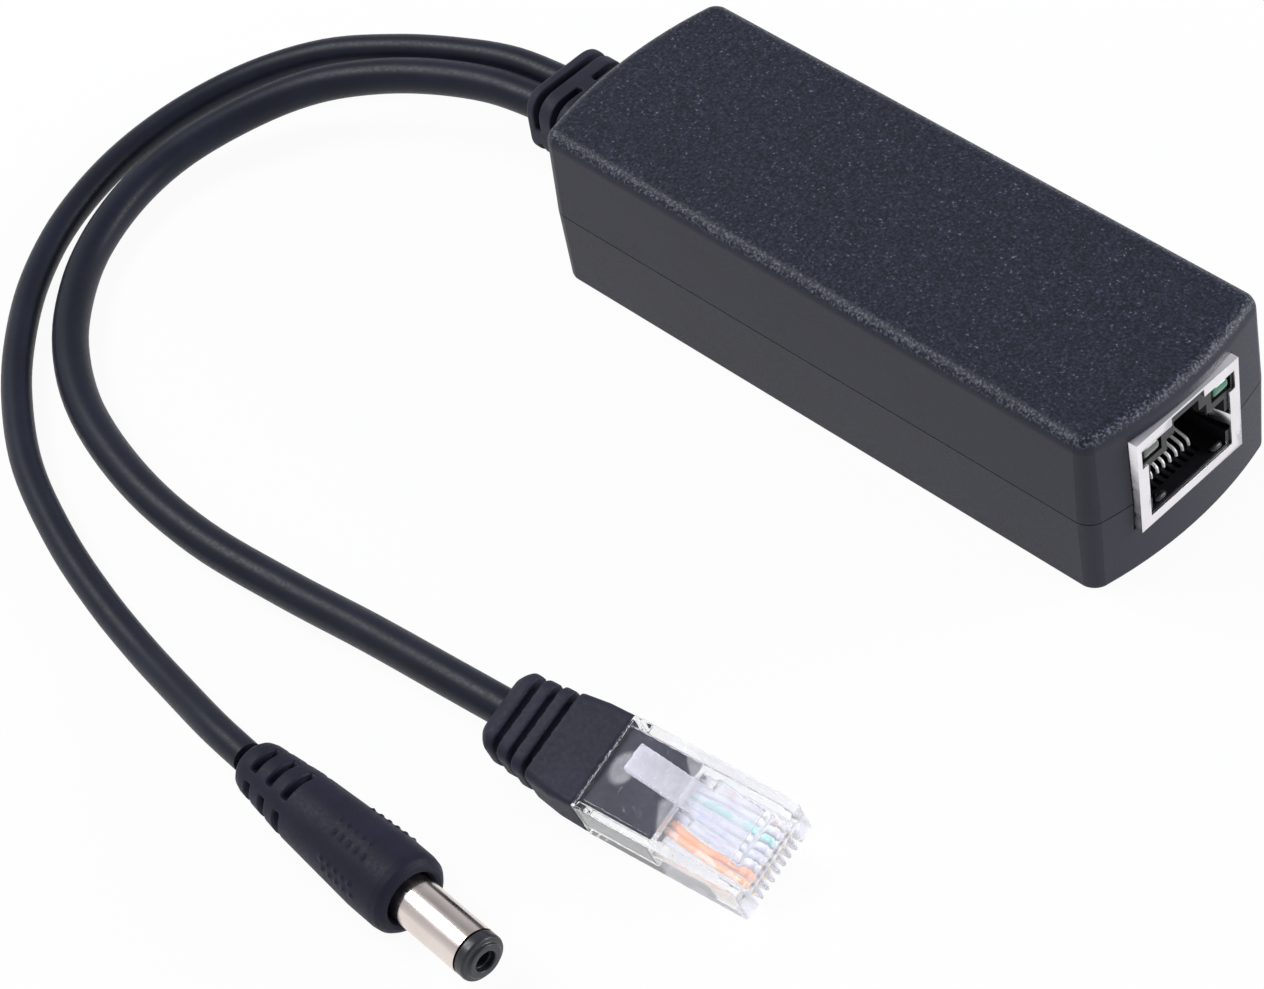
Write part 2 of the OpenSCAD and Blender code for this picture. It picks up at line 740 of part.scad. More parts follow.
module power_winding() {
    low = bobbin_foot + core_t + winding_gap;
    high = bobbin_foot + core_high - core_t - winding_gap;
    rail_y = core_w / 2 + winding_gap;
    rail_w = 2 * part_scale;
    cheek = 0.8 * part_scale;
    color([0.72, 0.45, 0.2]) translate(power_at) {
        difference() {
            union() {
                translate([0, 0, low]) cylinder(d = winding_d, h = high - low);
                block([-winding_d / 2, -rail_y - rail_w, low], [winding_d / 2, rail_y + rail_w, low + cheek]);
            }
            cylinder(d = leg_d + 2 * winding_gap, h = high + 1);
        }
        for (side = [-1, 1])
            translate([0, side * (rail_y + rail_w / 2), 0]) translate([-winding_d / 2, -rail_w / 2, 0])
                cube([winding_d, rail_w, low + cheek]);
    }
}

// Leads inside the case: each core leaves the strain relief and turns down to
// the board

// One core: level at height z, then down to the board at x_end
module lead_core(y, z, x_end, d) {
    translate([flange_end, y, z]) along_x() cylinder(d = d, h = x_end - flange_end);
    translate([x_end, y, z]) sphere(d = d);
    translate([x_end, y, board_top]) cylinder(d = d, h = z - board_top);
}

module dc_lead_positive() {
    color([0.75, 0.1, 0.1]) lead_core(dc_exit_y + 0.8, relief_z, board_x0 + 2, 1.1);
}

module dc_lead_negative() {
    color([0.1, 0.1, 0.1]) lead_core(dc_exit_y - 0.8, relief_z, board_x0 + 2, 1.1);
}

// Four pairs in two rows, crimped into one connector on the board
module data_leads() {
    pitch = 0.95;
    core_d = 0.8;
    middle = data_exit_y - 0.3;
    color([0.85, 0.5, 0.2]) {
        for (i = [0:3], row = [0, 1])
            lead_core(middle + (i - 1.5) * pitch, relief_z - 0.5 + row,
                      board_x0 + 1.6 + row * 1.4, core_d);
        block([board_x0 + 0.9, middle - 2 * pitch, board_top],
              [board_x0 + 3.8, middle + 2 * pitch, board_top + 2]);
    }
}

// Free leads

// A point on the smooth curve through the route, t of the way from a to b
function between(before, a, b, after, t) =
    0.5 * (2 * a + (b - before) * t + (2 * before - 5 * a + 4 * b - after) * t * t
        + (3 * a - before - 3 * b + after) * t * t * t);

// The route with one more ring between each two of its points
function ring_centres(p) = [
    for (i = [0:len(p) - 2], k = [0, 1])
        between(p[max(i - 1, 0)], p[i], p[i + 1], p[min(i + 2, len(p) - 1)], k / 2),
    p[len(p) - 1]
];

function unit(v) = v / norm(v);

// Direction of the lead at ring i, square to its two end faces
function heading_at(c, i, first, last) =
    i == 0 ? first : i == len(c) - 1 ? last : unit(c[i + 1] - c[i - 1]);

// The ring's eight points, square to its direction
function ring(centre, dir, r, sides) =
    let (across = unit(cross([0, 0, 1], dir)), upward = cross(dir, across))
    [for (k = [0:sides - 1])
        centre + r * (across * cos((k + 0.5) * 360 / sides) + upward * sin((k + 0.5) * 360 / sides))];

module lead_tube(route, d, first, last, sides = 8) {
    c = ring_centres(route);
    n = len(c);
    points = [for (i = [0:n - 1]) each ring(c[i], heading_at(c, i, first, last), d / 2, sides)];
    walls = [
        for (i = [0:n - 2], k = [0:sides - 1])
            let (a = i * sides + k, b = i * sides + (k + 1) % sides)
            [a, a + sides, b + sides, b]
    ];
    cap_0 = [for (k = [0:sides - 1]) k];
    cap_1 = [for (k = [sides - 1:-1:0]) (n - 1) * sides + k];
    polyhedron(points, concat(walls, [cap_0, cap_1]), convexity = 6);
}

module dc_cord() {
    color(cord_black)
        lead_tube(dc_route, dc_cord_d, [-1, 0, 0], [cos(dc_plug_heading), sin(dc_plug_heading), 0]);
}

module data_cord() {
    color(cord_black)
        lead_tube(data_route, data_cord_d, [-1, 0, 0], [cos(data_plug_heading), sin(data_plug_heading), 0]);
}

// Power plug, along its own axis from the rear of the grip

module at_dc_plug() {
    translate(dc_plug_at) rotate([0, 0, dc_plug_heading]) along_x() children();
}

// A row of four strain slots round the grip
module grip_slots(x) {
    core_r = grip_rear_r * 0.62;
    web = 1.6;
    difference() {
        translate([0, 0, x]) cylinder(r = grip_r, h = grip_slot);
        translate([0, 0, x - 1]) cylinder(r = core_r, h = grip_slot + 2);
        for (a = [0, 90]) rotate([0, 0, 45 + a]) translate([0, 0, x])
            cube([4 * grip_r, web, 4 * grip_slot], center = true);
    }
}

module dc_plug_grip() {
    cap_r = dc_cord_d / 2 + 0.9;
    color(cord_black) at_dc_plug() difference() {
        rotate_extrude() {
            polygon([
                [0, 0], [dc_cord_d / 2 + 0.1, 0], [cap_r, 0.9], [grip_rear_r, 2.2],
                [grip_shoulder_r, grip_shoulder_x], [grip_r, grip_l - 6],
                [grip_r, grip_l - grip_edge], [grip_r - grip_edge, grip_l - grip_edge],
                [grip_r - grip_edge, grip_l], [0, grip_l]
            ]);
            translate([grip_r - grip_edge, grip_l - grip_edge]) intersection() {
                circle(grip_edge);
                square(grip_edge);
            }
        }
        for (i = [0:2]) grip_slots(1.6 + i * grip_slot_pitch);
        barrel_neck(plug_fit);
        translate([0, 0, grip_l - 0.7]) cylinder(r1 = neck_r + plug_fit, r2 = barrel_r + 0.7, h = 0.7 + eps);
    }
}

// The neck is turned to a slight taper, so that the grip pulls tight on it
module barrel_neck(fit) {
    translate([0, 0, neck_start])
        cylinder(r1 = neck_r - neck_taper + fit, r2 = neck_r + fit, h = neck_end - neck_start + eps);
}

module dc_plug_barrel() {
    color(nickel) at_dc_plug() difference() {
        union() {
            barrel_neck(0);
            translate([0, 0, neck_end]) cylinder(r = barrel_r, h = barrel_x - neck_end);
        }
        translate([0, 0, neck_start - 1])
            cylinder(r = barrel_r - barrel_t, h = barrel_seat + barrel_l + 2);
    }
}

// The insulator: a sleeve inside the barrel and the stepped black tip
module dc_plug_tip() {
    sleeve_r = barrel_r - barrel_t - plug_fit;
    hole_r = bore_r + bore_t + plug_fit;
    rim = 0.45;
    tip_x = barrel_x + tip_l;
    color(cord_black) at_dc_plug() rotate_extrude() polygon([
        [hole_r, grip_l - barrel_seat], [sleeve_r, grip_l - barrel_seat], [sleeve_r, barrel_x],
        [barrel_r, barrel_x], [barrel_r, tip_x - rim], [barrel_r - rim, tip_x],
        [barrel_r - 2 * rim, tip_x], [barrel_r - 2 * rim - 0.1, tip_x - rim], [hole_r, tip_x - rim - 0.3]
    ]);
}

module dc_plug_contact() {
    color(nickel) at_dc_plug() difference() {
        translate([0, 0, grip_l - barrel_seat]) cylinder(r = bore_r + bore_t, h = barrel_x - grip_l + barrel_seat);
        translate([0, 0, neck_end]) cylinder(r = bore_r, h = barrel_x);
    }
}

// Data plug, in its own frame: x forward from the back of the clear housing,
// z up from the housing's flat lower face

module at_data_plug() {
    translate(data_plug_at) rotate([data_plug_roll, 0, data_plug_heading]) children();
}

// The same frame for one point, so that the lead can end on the boot
function data_plug_point(p) =
    let (
        y = p[1] * cos(data_plug_roll) - p[2] * sin(data_plug_roll),
        z = p[1] * sin(data_plug_roll) + p[2] * cos(data_plug_roll)
    )
    data_plug_at + [
        p[0] * cos(data_plug_heading) - y * sin(data_plug_heading),
        p[0] * sin(data_plug_heading) + y * cos(data_plug_heading),
        z
    ];

function plug_contact_y(i) = (i - (contact_count + 1) / 2) * contact_pitch;

// The sprung latch: a bar hinged at the nose, with wide shoulders near the
// nose and a narrow lever behind them
module plug_latch() {
    root = [housing_l - 0.9, housing_h - 0.4];
    tip = [latch_end, housing_h + latch_lift];
    shoulder = root + (tip - root) * 0.42 + [0, 0.5];
    thick = [0, latch_t];
    lever_y = latch_w / 2;
    translate([0, lever_y, 0]) rotate([90, 0, 0]) linear_extrude(latch_w)
        polygon([root, shoulder, tip, tip + thick * 0.9, shoulder + thick, root + thick * 1.6]);
    translate([0, latch_shoulder_w / 2, 0]) rotate([90, 0, 0]) linear_extrude(latch_shoulder_w)
        polygon([root, shoulder, shoulder + thick, root + thick * 1.6]);
}

module data_plug_housing() {
    nose = 0.8;
    bar_l = 4;
    color(clear) at_data_plug() {
        difference() {
            translate([0, housing_w / 2, 0]) rotate([90, 0, 0]) linear_extrude(housing_w)
                polygon([
                    [0, 0], [housing_l - nose / 2, 0], [housing_l, nose / 2],
                    [housing_l, housing_h - nose], [housing_l - nose, housing_h], [0, housing_h]
                ]);
            block([-1, -tongue_w / 2 - tongue_gap, tongue_z - tongue_gap],
                  [tongue_l + tongue_gap, tongue_w / 2 + tongue_gap, tongue_z + tongue_height + tongue_gap]);
            block([tongue_l, -contact_pitch * 4.2, wire_z - wire_d / 2 - 0.04],
                  [wire_end, contact_pitch * 4.2, wire_z + wire_d / 2 + 0.04]);
            for (i = [1:contact_count])
                translate([0, plug_contact_y(i), 0])
                    block([housing_l - comb_l, -comb_slot / 2, -1], [housing_l + 1, comb_slot / 2, wire_z - wire_d / 2]);
        }
        plug_latch();
    }
}

// A contact blade: its lower edge is the wiping face, its top meets the wire
module data_plug_contact(i) {
    top = wire_z - wire_d / 2 - 0.04;
    blade_t = 0.34;
    x0 = housing_l - comb_l;
    x1 = housing_l - 0.7;
    color(gold) at_data_plug() translate([0, plug_contact_y(i) + blade_t / 2, 0])
        rotate([90, 0, 0]) linear_extrude(blade_t)
            polygon([[x0, 1.3], [x0 + 0.6, 0.5], [x1 - 0.6, 0.5], [x1, 1.1], [x1, 2.2], [x1 - 1, 2.4], [x1 - 1, top], [x0, top]]);
}

module data_plug_contact_1() { data_plug_contact(1); }
module data_plug_contact_2() { data_plug_contact(2); }
module data_plug_contact_3() { data_plug_contact(3); }
module data_plug_contact_4() { data_plug_contact(4); }
module data_plug_contact_5() { data_plug_contact(5); }
module data_plug_contact_6() { data_plug_contact(6); }
module data_plug_contact_7() { data_plug_contact(7); }
module data_plug_contact_8() { data_plug_contact(8); }

// Insulated wires, side by side between the boot's tongue and the contacts
module data_plug_wire(i, tint) {
    color(tint) at_data_plug() translate([tongue_l, plug_contact_y(i), wire_z])
        along_x() cylinder(d = wire_d, h = wire_end - tongue_l, $fn = 24);
}

module data_plug_wire_1() { data_plug_wire(1, [0.95, 0.7, 0.55]); }
module data_plug_wire_2() { data_plug_wire(2, [0.95, 0.5, 0.2]); }
module data_plug_wire_3() { data_plug_wire(3, [0.8, 0.95, 0.9]); }
module data_plug_wire_4() { data_plug_wire(4, [0.3, 0.45, 0.8]); }
module data_plug_wire_5() { data_plug_wire(5, [0.85, 0.9, 1]); }
module data_plug_wire_6() { data_plug_wire(6, [0.35, 0.75, 0.65]); }
module data_plug_wire_7() { data_plug_wire(7, [0.95, 0.92, 0.88]); }
module data_plug_wire_8() { data_plug_wire(8, [0.7, 0.55, 0.4]); }

// Boot: a soft moulding that tapers from the housing's size to the rear rib,
// bent a little sideways, with a tongue that fills the housing's rear

function boot_share(x) = -x / boot_l;
function boot_w_at(x) = housing_w + (boot_rear_w - housing_w) * max(0, boot_share(x) * 4 / 3 - 1 / 3);
function boot_h_at(x) = housing_h + (boot_rear_h - housing_h) * boot_share(x);
function boot_y_at(x) = boot_bend * boot_share(x) * boot_share(x);

// A rounded slice of the boot between x0 and x1, scaled about its own middle
module boot_slice(x0, x1, shrink, r) {
    x = (x0 + x1) / 2;
    translate([0, boot_y_at(x), boot_axis_z - 0.2 * (1 - boot_share(x))])
        bar_x(x0, x1, boot_w_at(x) - 2 * shrink, boot_h_at(x) - 2 * shrink, r);
}

module data_plug_boot() {
    thin = 0.05;
    rib = boot_pitch - boot_groove;
    first_rib = -boot_front_l - boot_groove - rib;
    cap_x = first_rib - 2 * boot_pitch;
    groove_depth = 0.9;
    color(cord_black) at_data_plug() {
        hull() {
            boot_slice(-thin, 0, 0, 0.5);
            boot_slice(-boot_front_l / 2, -boot_front_l / 2 + thin, 0, 0.9);
            boot_slice(-boot_front_l, -boot_front_l + thin, 0, 1.2);
        }
        for (i = [0:1])
            boot_slice(first_rib - i * boot_pitch, first_rib - i * boot_pitch + rib, 0, 1.6);
        hull() {
            boot_slice(cap_x + rib - thin, cap_x + rib, 0, 1.8);
            boot_slice(cap_x + rib / 2, cap_x + rib / 2 + thin, 0, 1.8);
            boot_slice(-boot_l, -boot_l + thin, 1, 1.2);
        }
        translate([0, boot_y_at(-boot_front_l - boot_pitch), boot_axis_z])
            bar_x(-boot_l + 1, -boot_front_l + 1, boot_rear_w - 2 * groove_depth, boot_rear_h - 2 * groove_depth, 1.2);
        block([-1, -tongue_w / 2, tongue_z], [tongue_l, tongue_w / 2, tongue_z + tongue_height]);
    }
}

upper_case();
lower_case();
strain_relief();
circuit_board();
jack_shield();
jack_housing();
jack_contact_1();
jack_contact_2();
jack_contact_3();
jack_contact_4();
jack_contact_5();
jack_contact_6();
jack_contact_7();
jack_contact_8();
jack_lamp_left();
jack_lamp_right();
line_transformer();
power_core();
power_winding();
input_capacitor();
output_capacitor();
choke();
bridge_rectifier_1();
bridge_rectifier_2();
controller_chip();
output_diode();
dc_lead_positive();
dc_lead_negative();
data_leads();
dc_cord();
dc_plug_grip();
dc_plug_barrel();
dc_plug_tip();
dc_plug_contact();
data_cord();
data_plug_boot();
data_plug_housing();
data_plug_contact_1();
data_plug_contact_2();
data_plug_contact_3();
data_plug_contact_4();
data_plug_contact_5();
data_plug_contact_6();
data_plug_contact_7();
data_plug_contact_8();
data_plug_wire_1();
data_plug_wire_2();
data_plug_wire_3();
data_plug_wire_4();
data_plug_wire_5();
data_plug_wire_6();
data_plug_wire_7();
data_plug_wire_8();
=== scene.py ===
"""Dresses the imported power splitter: case, network jack, two leads and their plugs.

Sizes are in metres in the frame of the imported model. Lengths that come from
the part's own drawing are written in millimetres and multiplied by MM.
"""

import logging
import math
from dataclasses import dataclass, field
from enum import Enum
from typing import Iterable, Sequence

import bmesh
import bpy
import numpy as np
from mathutils import Matrix, Vector


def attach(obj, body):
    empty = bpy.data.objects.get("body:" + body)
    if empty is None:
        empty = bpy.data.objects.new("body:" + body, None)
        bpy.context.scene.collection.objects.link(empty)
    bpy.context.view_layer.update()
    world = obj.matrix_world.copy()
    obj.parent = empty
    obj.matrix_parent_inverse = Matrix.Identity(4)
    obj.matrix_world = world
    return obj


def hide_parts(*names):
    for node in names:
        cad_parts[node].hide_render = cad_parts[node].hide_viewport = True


LOG = logging.getLogger("splitter")
MM = 0.001
ROOT = "root"
CLOUD = "cloud"
Point = tuple[float, float, float]

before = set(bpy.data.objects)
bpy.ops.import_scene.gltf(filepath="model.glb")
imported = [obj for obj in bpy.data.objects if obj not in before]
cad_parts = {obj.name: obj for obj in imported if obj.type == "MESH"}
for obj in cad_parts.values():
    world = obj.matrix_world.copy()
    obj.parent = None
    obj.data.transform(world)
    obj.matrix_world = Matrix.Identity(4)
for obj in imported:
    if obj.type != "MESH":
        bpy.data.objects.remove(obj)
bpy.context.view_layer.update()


# Shader graphs


class Graph:
    """A small helper that adds and links the nodes of one material."""

    def __init__(self, name: str) -> None:
        """Starts an empty material with its output node."""
        self.material = bpy.data.materials.new(name)
        self.material.use_nodes = True
        self.tree = self.material.node_tree
        self.tree.nodes.clear()
        self.output = self.tree.nodes.new("ShaderNodeOutputMaterial")

    def node(self, kind: str, **values: object) -> bpy.types.Node:
        """Adds one node.

        Args:
            kind: The node's type without its common prefix.
            **values: Attributes of the node, or numbers and colours for the
                inputs of the same name, with spaces written as underscores.

        Returns:
            The new node.
        """
        made = self.tree.nodes.new("ShaderNode" + kind)
        for key, value in values.items():
            if hasattr(made, key):
                setattr(made, key, value)
                continue
            made.inputs[key.replace("_", " ")].default_value = value
        return made

    def link(self, out: bpy.types.NodeSocket, into: bpy.types.NodeSocket) -> None:
        """Links an output to an input."""
        self.tree.links.new(out, into)

    def position(self) -> bpy.types.NodeSocket:
        """Returns the point on the surface, in metres in the model's frame."""
        return self.node("TexCoord").outputs["Object"]

    def noise(self, scale: float, detail: float = 2.0, roughness: float = 0.5,
              stretch: Point = (1.0, 1.0, 1.0)) -> bpy.types.NodeSocket:
        """Adds a noise texture in the model's frame.

        Args:
            scale: Grains to the metre.
            detail: Number of finer layers.
            roughness: Weight of the finer layers.
            stretch: Factors on the position along each axis.

        Returns:
            The noise's value, from 0 to 1.
        """
        place = self.node("Mapping", vector_type="POINT")
        place.inputs["Scale"].default_value = stretch
        self.link(self.position(), place.inputs["Vector"])
        made = self.node("TexNoise", Scale=scale, Detail=detail, Roughness=roughness)
        self.link(place.outputs["Vector"], made.inputs["Vector"])
        return made.outputs["Fac"]

    def ramp(self, source: bpy.types.NodeSocket, low: float, high: float,
             start: float = 0.0, end: float = 1.0) -> bpy.types.NodeSocket:
        """Maps a value smoothly from one range to another, held at both ends.

        Args:
            source: The value to map.
            low: Value that becomes start. It may be more than high.
            high: Value that becomes end.
            start: Result at low and beyond it.
            end: Result at high and beyond it.

        Returns:
            The mapped value.
        """
        made = self.node("MapRange", interpolation_type="SMOOTHSTEP")
        made.inputs["From Min"].default_value = low
        made.inputs["From Max"].default_value = high
        made.inputs["To Min"].default_value = start
        made.inputs["To Max"].default_value = end
        self.link(source, made.inputs["Value"])
        return made.outputs["Result"]

    def math(self, operation: str, first: bpy.types.NodeSocket | float,
             second: bpy.types.NodeSocket | float) -> bpy.types.NodeSocket:
        """Combines two values.

        Args:
            operation: The math node's operation.
            first: A socket or a number.
            second: A socket or a number.

        Returns:
            The result.
        """
        made = self.node("Math", operation=operation)
        for value, into in zip((first, second), made.inputs):
            if isinstance(value, (int, float)):
                into.default_value = value
            else:
                self.link(value, into)
        return made.outputs["Value"]

    def mix(self, share: bpy.types.NodeSocket, dark: Sequence[float],
            light: Sequence[float]) -> bpy.types.NodeSocket:
        """Mixes two colours.

        Args:
            share: Share of the light colour, from 0 to 1.
            dark: Colour at 0.
            light: Colour at 1.

        Returns:
            The mixed colour.
        """
        made = self.node("Mix", data_type="RGBA")
        self.link(share, made.inputs["Factor"])
        made.inputs[6].default_value = (*dark, 1.0)
        made.inputs[7].default_value = (*light, 1.0)
        return made.outputs[2]

    def bump(self, height: bpy.types.NodeSocket, depth: float, strength: float = 1.0,
             under: bpy.types.NodeSocket | None = None) -> bpy.types.NodeSocket:
        """Adds a bump.

        Args:
            height: The relief, from 0 to 1.
            depth: Real depth of the relief in metres.
            strength: Share of the relief that is used.
            under: Normal of a bump below this one, if there is one.

        Returns:
            The bent normal.
        """
        made = self.node("Bump", Strength=strength, Distance=depth)
        self.link(height, made.inputs["Height"])
        if under is not None:
            self.link(under, made.inputs["Normal"])
        return made.outputs["Normal"]

    def facing_up(self) -> bpy.types.NodeSocket:
        """Returns how far the surface faces up in the model's frame, from -1 to 1."""
        split = self.node("SeparateXYZ")
        self.link(self.node("TexCoord").outputs["Normal"], split.inputs["Vector"])
        return split.outputs["Z"]

    def principled(self, **values: object) -> bpy.types.Node:
        """Adds the surface shader and joins it to the output."""
        made = self.node("BsdfPrincipled", **values)
        self.link(made.outputs["BSDF"], self.output.inputs["Surface"])
        return made


@dataclass(frozen=True)
class GrainedCase:
    """Moulded case plastic: a coarse grain on top, finer at the sides, with painted glints on the
    top's grain and a painted speckled highlight along the rims.
    """

    name: str = "grained_case"
    top: Point = (0.0155, 0.0185, 0.032)
    side: Point = (0.0205, 0.0212, 0.034)
    # Colour of the painted glints and of the painted rim highlight.
    glint_tone: Point = (0.19, 0.21, 0.26)
    grain: float = 3100.0
    fine_grain: float = 6400.0
    drift: float = 70.0
    gloss: float = 0.26
    grain_depth: float = 0.09 * MM
    fine_depth: float = 0.02 * MM
    # Strength of the painted speckled highlight along the rims.
    rim_highlight_share: float = 0.5

    def build(self) -> bpy.types.Material:
        """Returns the material."""
        g = Graph(self.name)
        facing = g.facing_up()
        up = g.ramp(facing, 0.25, 0.8)
        coarse = g.noise(self.grain, 2.0, 0.6)
        fine = g.noise(self.fine_grain, 2.0, 0.5)
        cloud = g.noise(self.drift, 3.0, 0.55)
        body = g.node("Mix", data_type="RGBA")
        g.link(up, body.inputs["Factor"])
        flow = g.math("MULTIPLY", g.ramp(cloud, 0.2, 0.8, 0.5, 1.0), g.ramp(fine, 0.3, 0.7))
        g.link(g.mix(flow, [c * 0.72 for c in self.side],
                     [c * 1.4 for c in self.side]), body.inputs[6])
        g.link(g.mix(g.ramp(coarse, 0.35, 0.7), [c * 0.5 for c in self.top],
                     [c * 1.75 for c in self.top]), body.inputs[7])
        # Painted glints: bright flecks of the coarse grain, only on upward faces, stand in for light
        # caught by the grain.
        painted_glints = g.math("MULTIPLY", g.ramp(coarse, 0.66, 0.76), g.ramp(up, 0.1, 0.9))
        # Painted highlight: a speckled light band along every rim between the top and the sides, made
        # in the colour.
        rim = g.math("MULTIPLY", g.ramp(facing, 0.4, 0.7), g.ramp(facing, 0.985, 0.88))
        rim_highlight = g.math("MULTIPLY", rim, g.ramp(coarse, 0.46, 0.68, 0.0, self.rim_highlight_share))
        painted_glints = g.math("MAXIMUM", painted_glints, rim_highlight)
        lit = g.node("Mix", data_type="RGBA")
        g.link(painted_glints, lit.inputs["Factor"])
        g.link(body.outputs[2], lit.inputs[6])
        lit.inputs[7].default_value = (*self.glint_tone, 1.0)
        s = g.principled(IOR=1.5)
        s.inputs["Specular IOR Level"].default_value = self.gloss
        g.link(lit.outputs[2], s.inputs["Base Color"])
        g.link(g.ramp(fine, 0.3, 0.7, 0.38, 0.56), s.inputs["Roughness"])
        coarse_height = g.math("MULTIPLY", coarse, g.ramp(up, 0.0, 1.0, 0.18, 1.0))
        grained = g.bump(coarse_height, self.grain_depth, 0.75)
        g.link(g.bump(fine, self.fine_depth, 0.5, grained), s.inputs["Normal"])
        return g.material


@dataclass(frozen=True)
class SoftVinyl:
    """Black flexible vinyl with a satin skin and faint flow marks."""

    name: str
    tone: Point = (0.0085, 0.011, 0.0222)
    roughness: float = 0.42
    grain: float = 2600.0
    depth: float = 0.02 * MM
    flow: float = 160.0
    flow_depth: float = 0.05 * MM
    gloss: float = 0.24

    def build(self) -> bpy.types.Material:
        """Returns the material."""
        g = Graph(self.name)
        cloud = g.noise(self.flow, 3.0, 0.55)
        fine = g.noise(self.grain, 3.0, 0.6)
        s = g.principled(IOR=1.5)
        s.inputs["Specular IOR Level"].default_value = self.gloss
        g.link(g.mix(g.ramp(cloud, 0.3, 0.7), [c * 0.85 for c in self.tone],
                     [c * 1.18 for c in self.tone]), s.inputs["Base Color"])
        g.link(g.ramp(fine, 0.25, 0.75, self.roughness - 0.06, self.roughness + 0.08),
               s.inputs["Roughness"])
        broad = g.bump(cloud, self.flow_depth, 0.25)
        g.link(g.bump(fine, self.depth, 0.5, broad), s.inputs["Normal"])
        return g.material


@dataclass(frozen=True)
class PlatedMetal:
    """Plated sheet or turned metal with fine marks along one axis."""

    name: str
    tone: Point = (0.8, 0.78, 0.76)
    roughness: float = 0.24
    marks: Point = (1.0, 1.0, 1.0)
    mark_scale: float = 900.0
    mark_depth: float = 0.006 * MM
    stain: float = 240.0
    metallic: float = 1.0

    def build(self) -> bpy.types.Material:
        """Returns the material."""
        g = Graph(self.name)
        streak = g.noise(self.mark_scale, 4.0, 0.6, self.marks)
        cloud = g.noise(self.stain, 2.0, 0.5)
        s = g.principled(Metallic=self.metallic)
        g.link(g.mix(g.ramp(cloud, 0.3, 0.7), [c * 0.93 for c in self.tone], self.tone),
               s.inputs["Base Color"])
        g.link(g.ramp(streak, 0.3, 0.7, self.roughness - 0.05, self.roughness + 0.08),
               s.inputs["Roughness"])
        g.link(g.bump(streak, self.mark_depth, 0.35), s.inputs["Normal"])
        return g.material


@dataclass(frozen=True)
class Moulding:
    """Hard moulded plastic or ceramic with a fine skin."""

    name: str
    tone: Point
    roughness: float = 0.4
    grain: float = 3000.0
    depth: float = 0.012 * MM
    flow: float = 300.0
    coat: float = 0.0

    def build(self) -> bpy.types.Material:
        """Returns the material."""
        g = Graph(self.name)
        fine = g.noise(self.grain, 3.0, 0.55)
        cloud = g.noise(self.flow, 2.0, 0.5)
        s = g.principled(IOR=1.5)
        if self.coat:
            s.inputs["Coat Weight"].default_value = self.coat
        g.link(g.mix(g.ramp(cloud, 0.3, 0.7), [c * 0.86 for c in self.tone],
                     [min(1.0, c * 1.1) for c in self.tone]), s.inputs["Base Color"])
        g.link(g.ramp(fine, 0.3, 0.7, self.roughness - 0.06, self.roughness + 0.08),
               s.inputs["Roughness"])
        g.link(g.bump(fine, self.depth, 0.5), s.inputs["Normal"])
        return g.material


@dataclass(frozen=True)
class ClearResin:
    """Clear moulded resin, clouded where the piece's own cloud value says so."""

    name: str
    tone: Point = (0.97, 0.975, 0.99)
    cloudy: Point = (0.77, 0.77, 0.89)
    roughness: float = 0.04
    ripple: float = 0.02 * MM
    index: float = 1.32
    scratches: float = 0.12
    flow: float = 420.0
    grain: float = 1500.0
    lamp_share: float = 0.25
    lamp_most: float = 0.95

    def build(self) -> bpy.types.Material:
        """Returns the material, which lets the lamps through to what it holds."""
        g = Graph(self.name)
        flow = g.noise(self.flow, 3.0, 0.6)
        fine = g.noise(self.grain, 4.0, 0.65)
        cloud = g.node("Attribute", attribute_name=CLOUD).outputs["Fac"]
        marks = g.math("MULTIPLY", g.ramp(fine, 0.6, 0.72), self.scratches)
        drift = g.math("MULTIPLY", g.ramp(flow, 0.3, 0.7, 0.8, 1.15), cloud)
        share = g.math("MINIMUM", g.math("ADD", drift, marks), 1.0)
        clear = g.math("SUBTRACT", 1.0, share)
        s = g.node("BsdfPrincipled", IOR=self.index)
        g.link(clear, s.inputs["Transmission Weight"])
        g.link(g.mix(share, self.tone, self.cloudy), s.inputs["Base Color"])
        g.link(g.ramp(share, 0.0, 0.8, self.roughness, self.roughness + 0.3),
               s.inputs["Roughness"])
        g.link(g.bump(flow, self.ripple, 0.5), s.inputs["Normal"])
        through = g.node("BsdfTransparent", Color=(*self.tone, 1.0))
        mixed = g.node("MixShader")
        lamps = g.math("MULTIPLY", g.math("ADD", clear, self.lamp_share),
                       g.node("LightPath").outputs["Is Shadow Ray"])
        g.link(g.math("MINIMUM", lamps, self.lamp_most), mixed.inputs["Fac"])
        g.link(s.outputs["BSDF"], mixed.inputs[1])
        g.link(through.outputs["BSDF"], mixed.inputs[2])
        g.link(mixed.outputs["Shader"], g.output.inputs["Surface"])
        return g.material


@dataclass(frozen=True)
class BandedWire:
    """Thin wire insulation: a pale ground with a colour that shows in patches."""

    name: str
    ground: Point
    band: Point
    patch: float = 520.0
    cover: float = 0.5
    grain: float = 4000.0
    depth: float = 0.008 * MM

    def build(self) -> bpy.types.Material:
        """Returns the material."""
        g = Graph(self.name)
        patches = g.noise(self.patch, 1.0, 0.4)
        fine = g.noise(self.grain, 2.0, 0.5)
        edge = 0.62 - 0.3 * self.cover
        s = g.principled(IOR=1.45)
        g.link(g.mix(g.ramp(patches, edge, edge + 0.06), self.ground, self.band),
               s.inputs["Base Color"])
        g.link(g.ramp(fine, 0.3, 0.7, 0.28, 0.4), s.inputs["Roughness"])
        g.link(g.bump(fine, self.depth, 0.4), s.inputs["Normal"])
        return g.material


